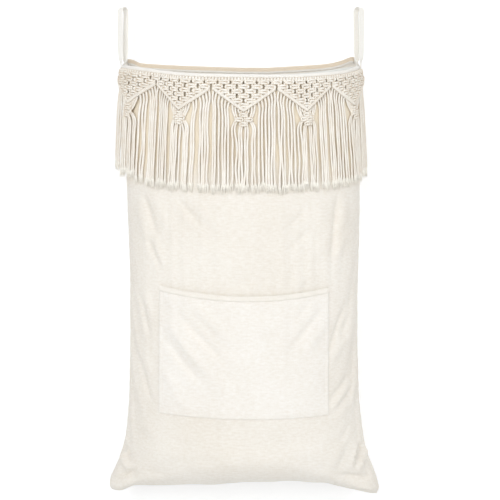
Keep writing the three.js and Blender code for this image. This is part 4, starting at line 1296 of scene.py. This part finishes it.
def ridge_parts(bundle, middle, mirror):
    """Two wraps of each cord round the slanting cord that a net ends on."""
    tail, nose = cord_offset(0) * 1.02, -(RIDGE_WIDTH / 2 * SLOPE / SLANT + GAP) / PITCH
    offsets = np.linspace(tail, nose * 0.2, WRAPS)
    direction, across = np.array([1, SLOPE, 0]) / SLANT, np.array([-SLOPE, 1, 0]) / SLANT
    turn = np.linspace(0, 2 * math.pi, 13)
    line = places_of((middle + mirror * offsets) * PITCH, [ridge_drop(o + KNOTS / 2) for o in offsets],
                     STANDOFF + RIDGE_RISE / 2)
    bundle.add(tube(line, 1.9 * MM, 8, TWIST))
    ring = np.cos(turn)[:, None] * (across * WRAP_ACROSS + direction * WRAP_LEAN)
    ring[:, 2] = np.sin(turn) * WRAP_DEPTH
    turned = np.array([mirror, 1, 1])
    for number, place in enumerate(line):
        wrap = tube(ring * turned + place, 1.8 * MM, 8, TWIST, flat=WRAP_FLAT, side=direction * turned)
        bundle.add(wrap, start=number * 0.3)


def point_pieces(point, part, bundle, tufts, node):
    """The cords and the brushes of one part of a point, on the point's body."""
    obj = bundle.piece(f"{part}_cords_{point}", CORD, f"point_{point}")
    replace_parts(obj, node)
    return obj, tufts.piece(f"{part}_brushes_{point}", TUFT_COTTON, f"point_{point}")


def side_pieces(point, is_right):
    """The ridge under one side of a point, and the cords that hang from it."""
    rng = np.random.default_rng(100 + point * 2 + is_right)
    middle = (point - 0.5) * KNOTS
    mirror, side = (-1, "right") if is_right else (1, "left")
    bundle, tufts = Bundle(), Bundle()
    ridge_parts(bundle, middle, mirror)
    for number in range(SIDE_CORDS):
        offset = cord_offset(number)
        pitches = middle + mirror * offset
        start = (pitches * PITCH, ridge_drop(offset + KNOTS / 2) + 1.2 * MM, STANDOFF + 1.2 * MM)
        tip = tip_place(point, CORDS - 1 - number if is_right else number)
        path = fringe_path(rng, start, tip, brush_drop(rng, pitches), -mirror * 2.4 * MM)
        add_cord(bundle, tufts, rng, path)
    return point_pieces(point, side, bundle, tufts, f"{side}_fringe_{point}")


# Each tip's cluster: how far its knots sit to the side in each row, and how far its middle drifts per row
CLUSTERS = {
    1: ((0,), (-4, 4), (0,), -2.2), 2: ((0.5,), (-4.5, 4.5), (0.5,), 0.4), 3: ((0,), (-8.6, 8.6), (0,), 0.0),
    4: ((0,), (-6.5, 6.5), (0,), 0.4), 5: ((0,), (-4, 4), (0,), 2.6)}
CLUSTER_WIDTH = 0.8


def apex_pieces(point):
    """The eight cords under a point's tip, drawn together by a few more knots, then hanging free."""
    rng = np.random.default_rng(200 + point)
    middle = (point - 0.5) * KNOTS
    bundle, tufts = Bundle(), Bundle()
    first = ridge_drop(KNOTS / 2) + RIDGE_WIDTH / 2 * SLANT + CLUSTER_START
    *rows, drift = CLUSTERS[point]
    half, centre = CLUSTER_ROW / 2, middle * PITCH
    sites = [(centre + (off + drift * row) * MM, first + CLUSTER_ROW * row)
             for row, offs in enumerate(rows) for off in offs]
    knots_at(bundle, sites, 60 + point, CLUSTER_ROW, CLUSTER_WIDTH)
    spread = max(rows[1]) * MM
    low = STANDOFF + 1.6 * MM
    for number in range(SIDE_CORDS, CORDS - SIDE_CORDS):
        offset = cord_offset(number)
        side = -1 if offset < 0 else 1
        place = abs(number - (CORDS - 1) / 2)
        top = ridge_drop(KNOTS / 2 - abs(offset)) + RIDGE_WIDTH / 2 * SLANT * 0.6
        start = (centre + offset * PITCH, top, low - 0.4 * MM)
        into = centre + side * (3.9 if place % 2 < 1 else 8.9) * U * CLUSTER_WIDTH
        inner = place < 2
        if inner:
            upper_end = (into, first - half, low)
            lower_start = (into + 2 * drift * MM, first + 2 * CLUSTER_ROW + half, low)
        else:
            along = into + side * spread + drift * MM
            upper_end = (along, first + CLUSTER_ROW - half, low)
            lower_start = (along + side * 1.2 * MM, first + CLUSTER_ROW + half, low)
        bend = mix(np.array(start), np.array(upper_end), 0.5) + (side * 1.6 * MM, 0, 0.6 * MM)
        bundle.add(tube(smooth_path([start, bend, upper_end], 1.6 * MM), 2.1 * MM, 8, TWIST, LOBES))
        drop = brush_drop(rng, middle)
        tip = mix(tip_place(point, number), lower_start[0], 0.35)
        path = fringe_path(rng, lower_start, tip, drop, side * (1.0 if inner else 3.0) * MM)
        add_cord(bundle, tufts, rng, path)
    return point_pieces(point, "apex", bundle, tufts, f"apex_knots_{point}")


valance = [*header_pieces(), top_knots()]
for point in range(1, POINTS + 1):
    valance += [net_piece(point), link_piece(point), *side_pieces(point, False), *side_pieces(point, True),
                *apex_pieces(point)]


# ------------------------------------------------------------------------------------ the stay

def stay_finish():
    """Matt moulded plastic with a faint pebble and scuffs."""
    material, w, shader = start_material("stay plastic", 0.55, 0.0)
    place = w.node("ShaderNodeTexCoord").outputs["Object"]
    scuffs = w.grain(place, (40, 40, 260), 3.0)
    w.feed(shader.inputs["Base Color"], w.blend(scuffs, linear((226, 226, 221)), linear((238, 238, 234))))
    w.feed(shader.inputs["Roughness"], w.range(scuffs, 0.3, 0.7, 0.45, 0.65))
    w.relief(shader, w.noise(place, 2500.0), 0.1, 0.1 * MM)
    return material


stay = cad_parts["mouth_stay"]
stay.data.materials.clear()
stay.data.materials.append(stay_finish())


# ------------------------------------------------------------------------------------ room and light

# Between these distances the backdrop brightens to a glow that shows as white
NEAR, FAR, WHITE_GLOW = 1.6, 3.0, 1.2


def backdrop_finish(name, paleness, brightness):
    """A white wall or floor: white to the camera, with the object's shadow on it, and clear from behind."""
    material, w = new_material(name)
    w.tree.nodes.clear()
    paint = w.node("ShaderNodeBsdfDiffuse", Color=(paleness, paleness, paleness, 1)).outputs[0]
    surface = w.node("ShaderNodeNewGeometry").outputs
    far = w.node("ShaderNodeVectorMath", {"operation": "LENGTH"}, Vector=surface["Position"]).outputs["Value"]
    glow = w.node("ShaderNodeEmission", Strength=w.range(far, NEAR, FAR, brightness, WHITE_GLOW)).outputs[0]
    dark = w.node("ShaderNodeEmission", Strength=0.0).outputs[0]
    clear = w.node("ShaderNodeBsdfTransparent").outputs[0]
    ray = w.node("ShaderNodeLightPath").outputs
    seen = w.larger(ray["Is Camera Ray"], ray["Is Glossy Ray"], ray["Is Transmission Ray"])
    lift = w.node("ShaderNodeMixShader", (), seen, dark, glow).outputs[0]
    both = w.node("ShaderNodeAddShader", (), paint, lift).outputs[0]
    passed = w.larger(surface["Backfacing"], ray["Is Shadow Ray"])
    w.node("ShaderNodeOutputMaterial", (), w.node("ShaderNodeMixShader", (), passed, both, clear).outputs[0])
    return material


def plane(name, corners, finish):
    mesh = new_mesh(name, corners, [(0, 1, 2, 3)])
    mesh.materials.append(finish)
    new_object(name, mesh)


WALL_Y, FLOOR_Z = 2 * MM, -1.32
plane("wall", [(-4, WALL_Y, FLOOR_Z), (4, WALL_Y, FLOOR_Z), (4, WALL_Y, 3), (-4, WALL_Y, 3)],
      backdrop_finish("white wall", 0.8, 0.34))
plane("floor", [(-4, -5, FLOOR_Z), (4, -5, FLOOR_Z), (4, 4, FLOOR_Z), (-4, 4, FLOOR_Z)],
      backdrop_finish("white floor", 0.78, 0.5))

LAMP_TINT = (0.965, 0.985, 1.0)


def lamp(name, place, aim, size, power):
    data = bpy.data.lights.new(name, "AREA")
    data.shape, data.size, data.energy, data.color = "DISK", size, power, LAMP_TINT
    obj = new_object(name, data)
    obj.location = place
    obj.rotation_euler = (Vector(aim) - Vector(place)).to_track_quat("-Z", "Y").to_euler()


lamp("key", (-1.1, -2.9, 0.5), (0, -0.1, -0.45), 1.7, 29.2)
lamp("fill", (1.9, -2.8, 0.1), (0, -0.1, -0.5), 2.0, 19.0)
lamp("back", (0.6, 2.6, 0.8), (0, 0, -0.5), 1.6, 40)

world = bpy.data.worlds.new("studio")
world.use_nodes = True
bpy.context.scene.world = world
sky = Wiring(world.node_tree)
shade = world.node_tree.nodes["Background"]
shade.inputs["Color"].default_value = (1, 1, 1, 1)
ray = sky.node("ShaderNodeLightPath").outputs
direct = sky.larger(ray["Is Camera Ray"], ray["Is Glossy Ray"], ray["Is Transmission Ray"])
sky.feed(shade.inputs["Strength"], sky.range(direct, 0, 1, 0.62, 1.0))

camera = new_object("camera", bpy.data.cameras.new("camera"))
camera.data.lens, camera.data.sensor_width = LENS, SENSOR
camera.location = CAMERA_PLACE
camera.rotation_euler = (math.pi / 2, 0, 0)
bpy.context.scene.camera = camera
bpy.context.scene.view_settings.view_transform = "Standard"
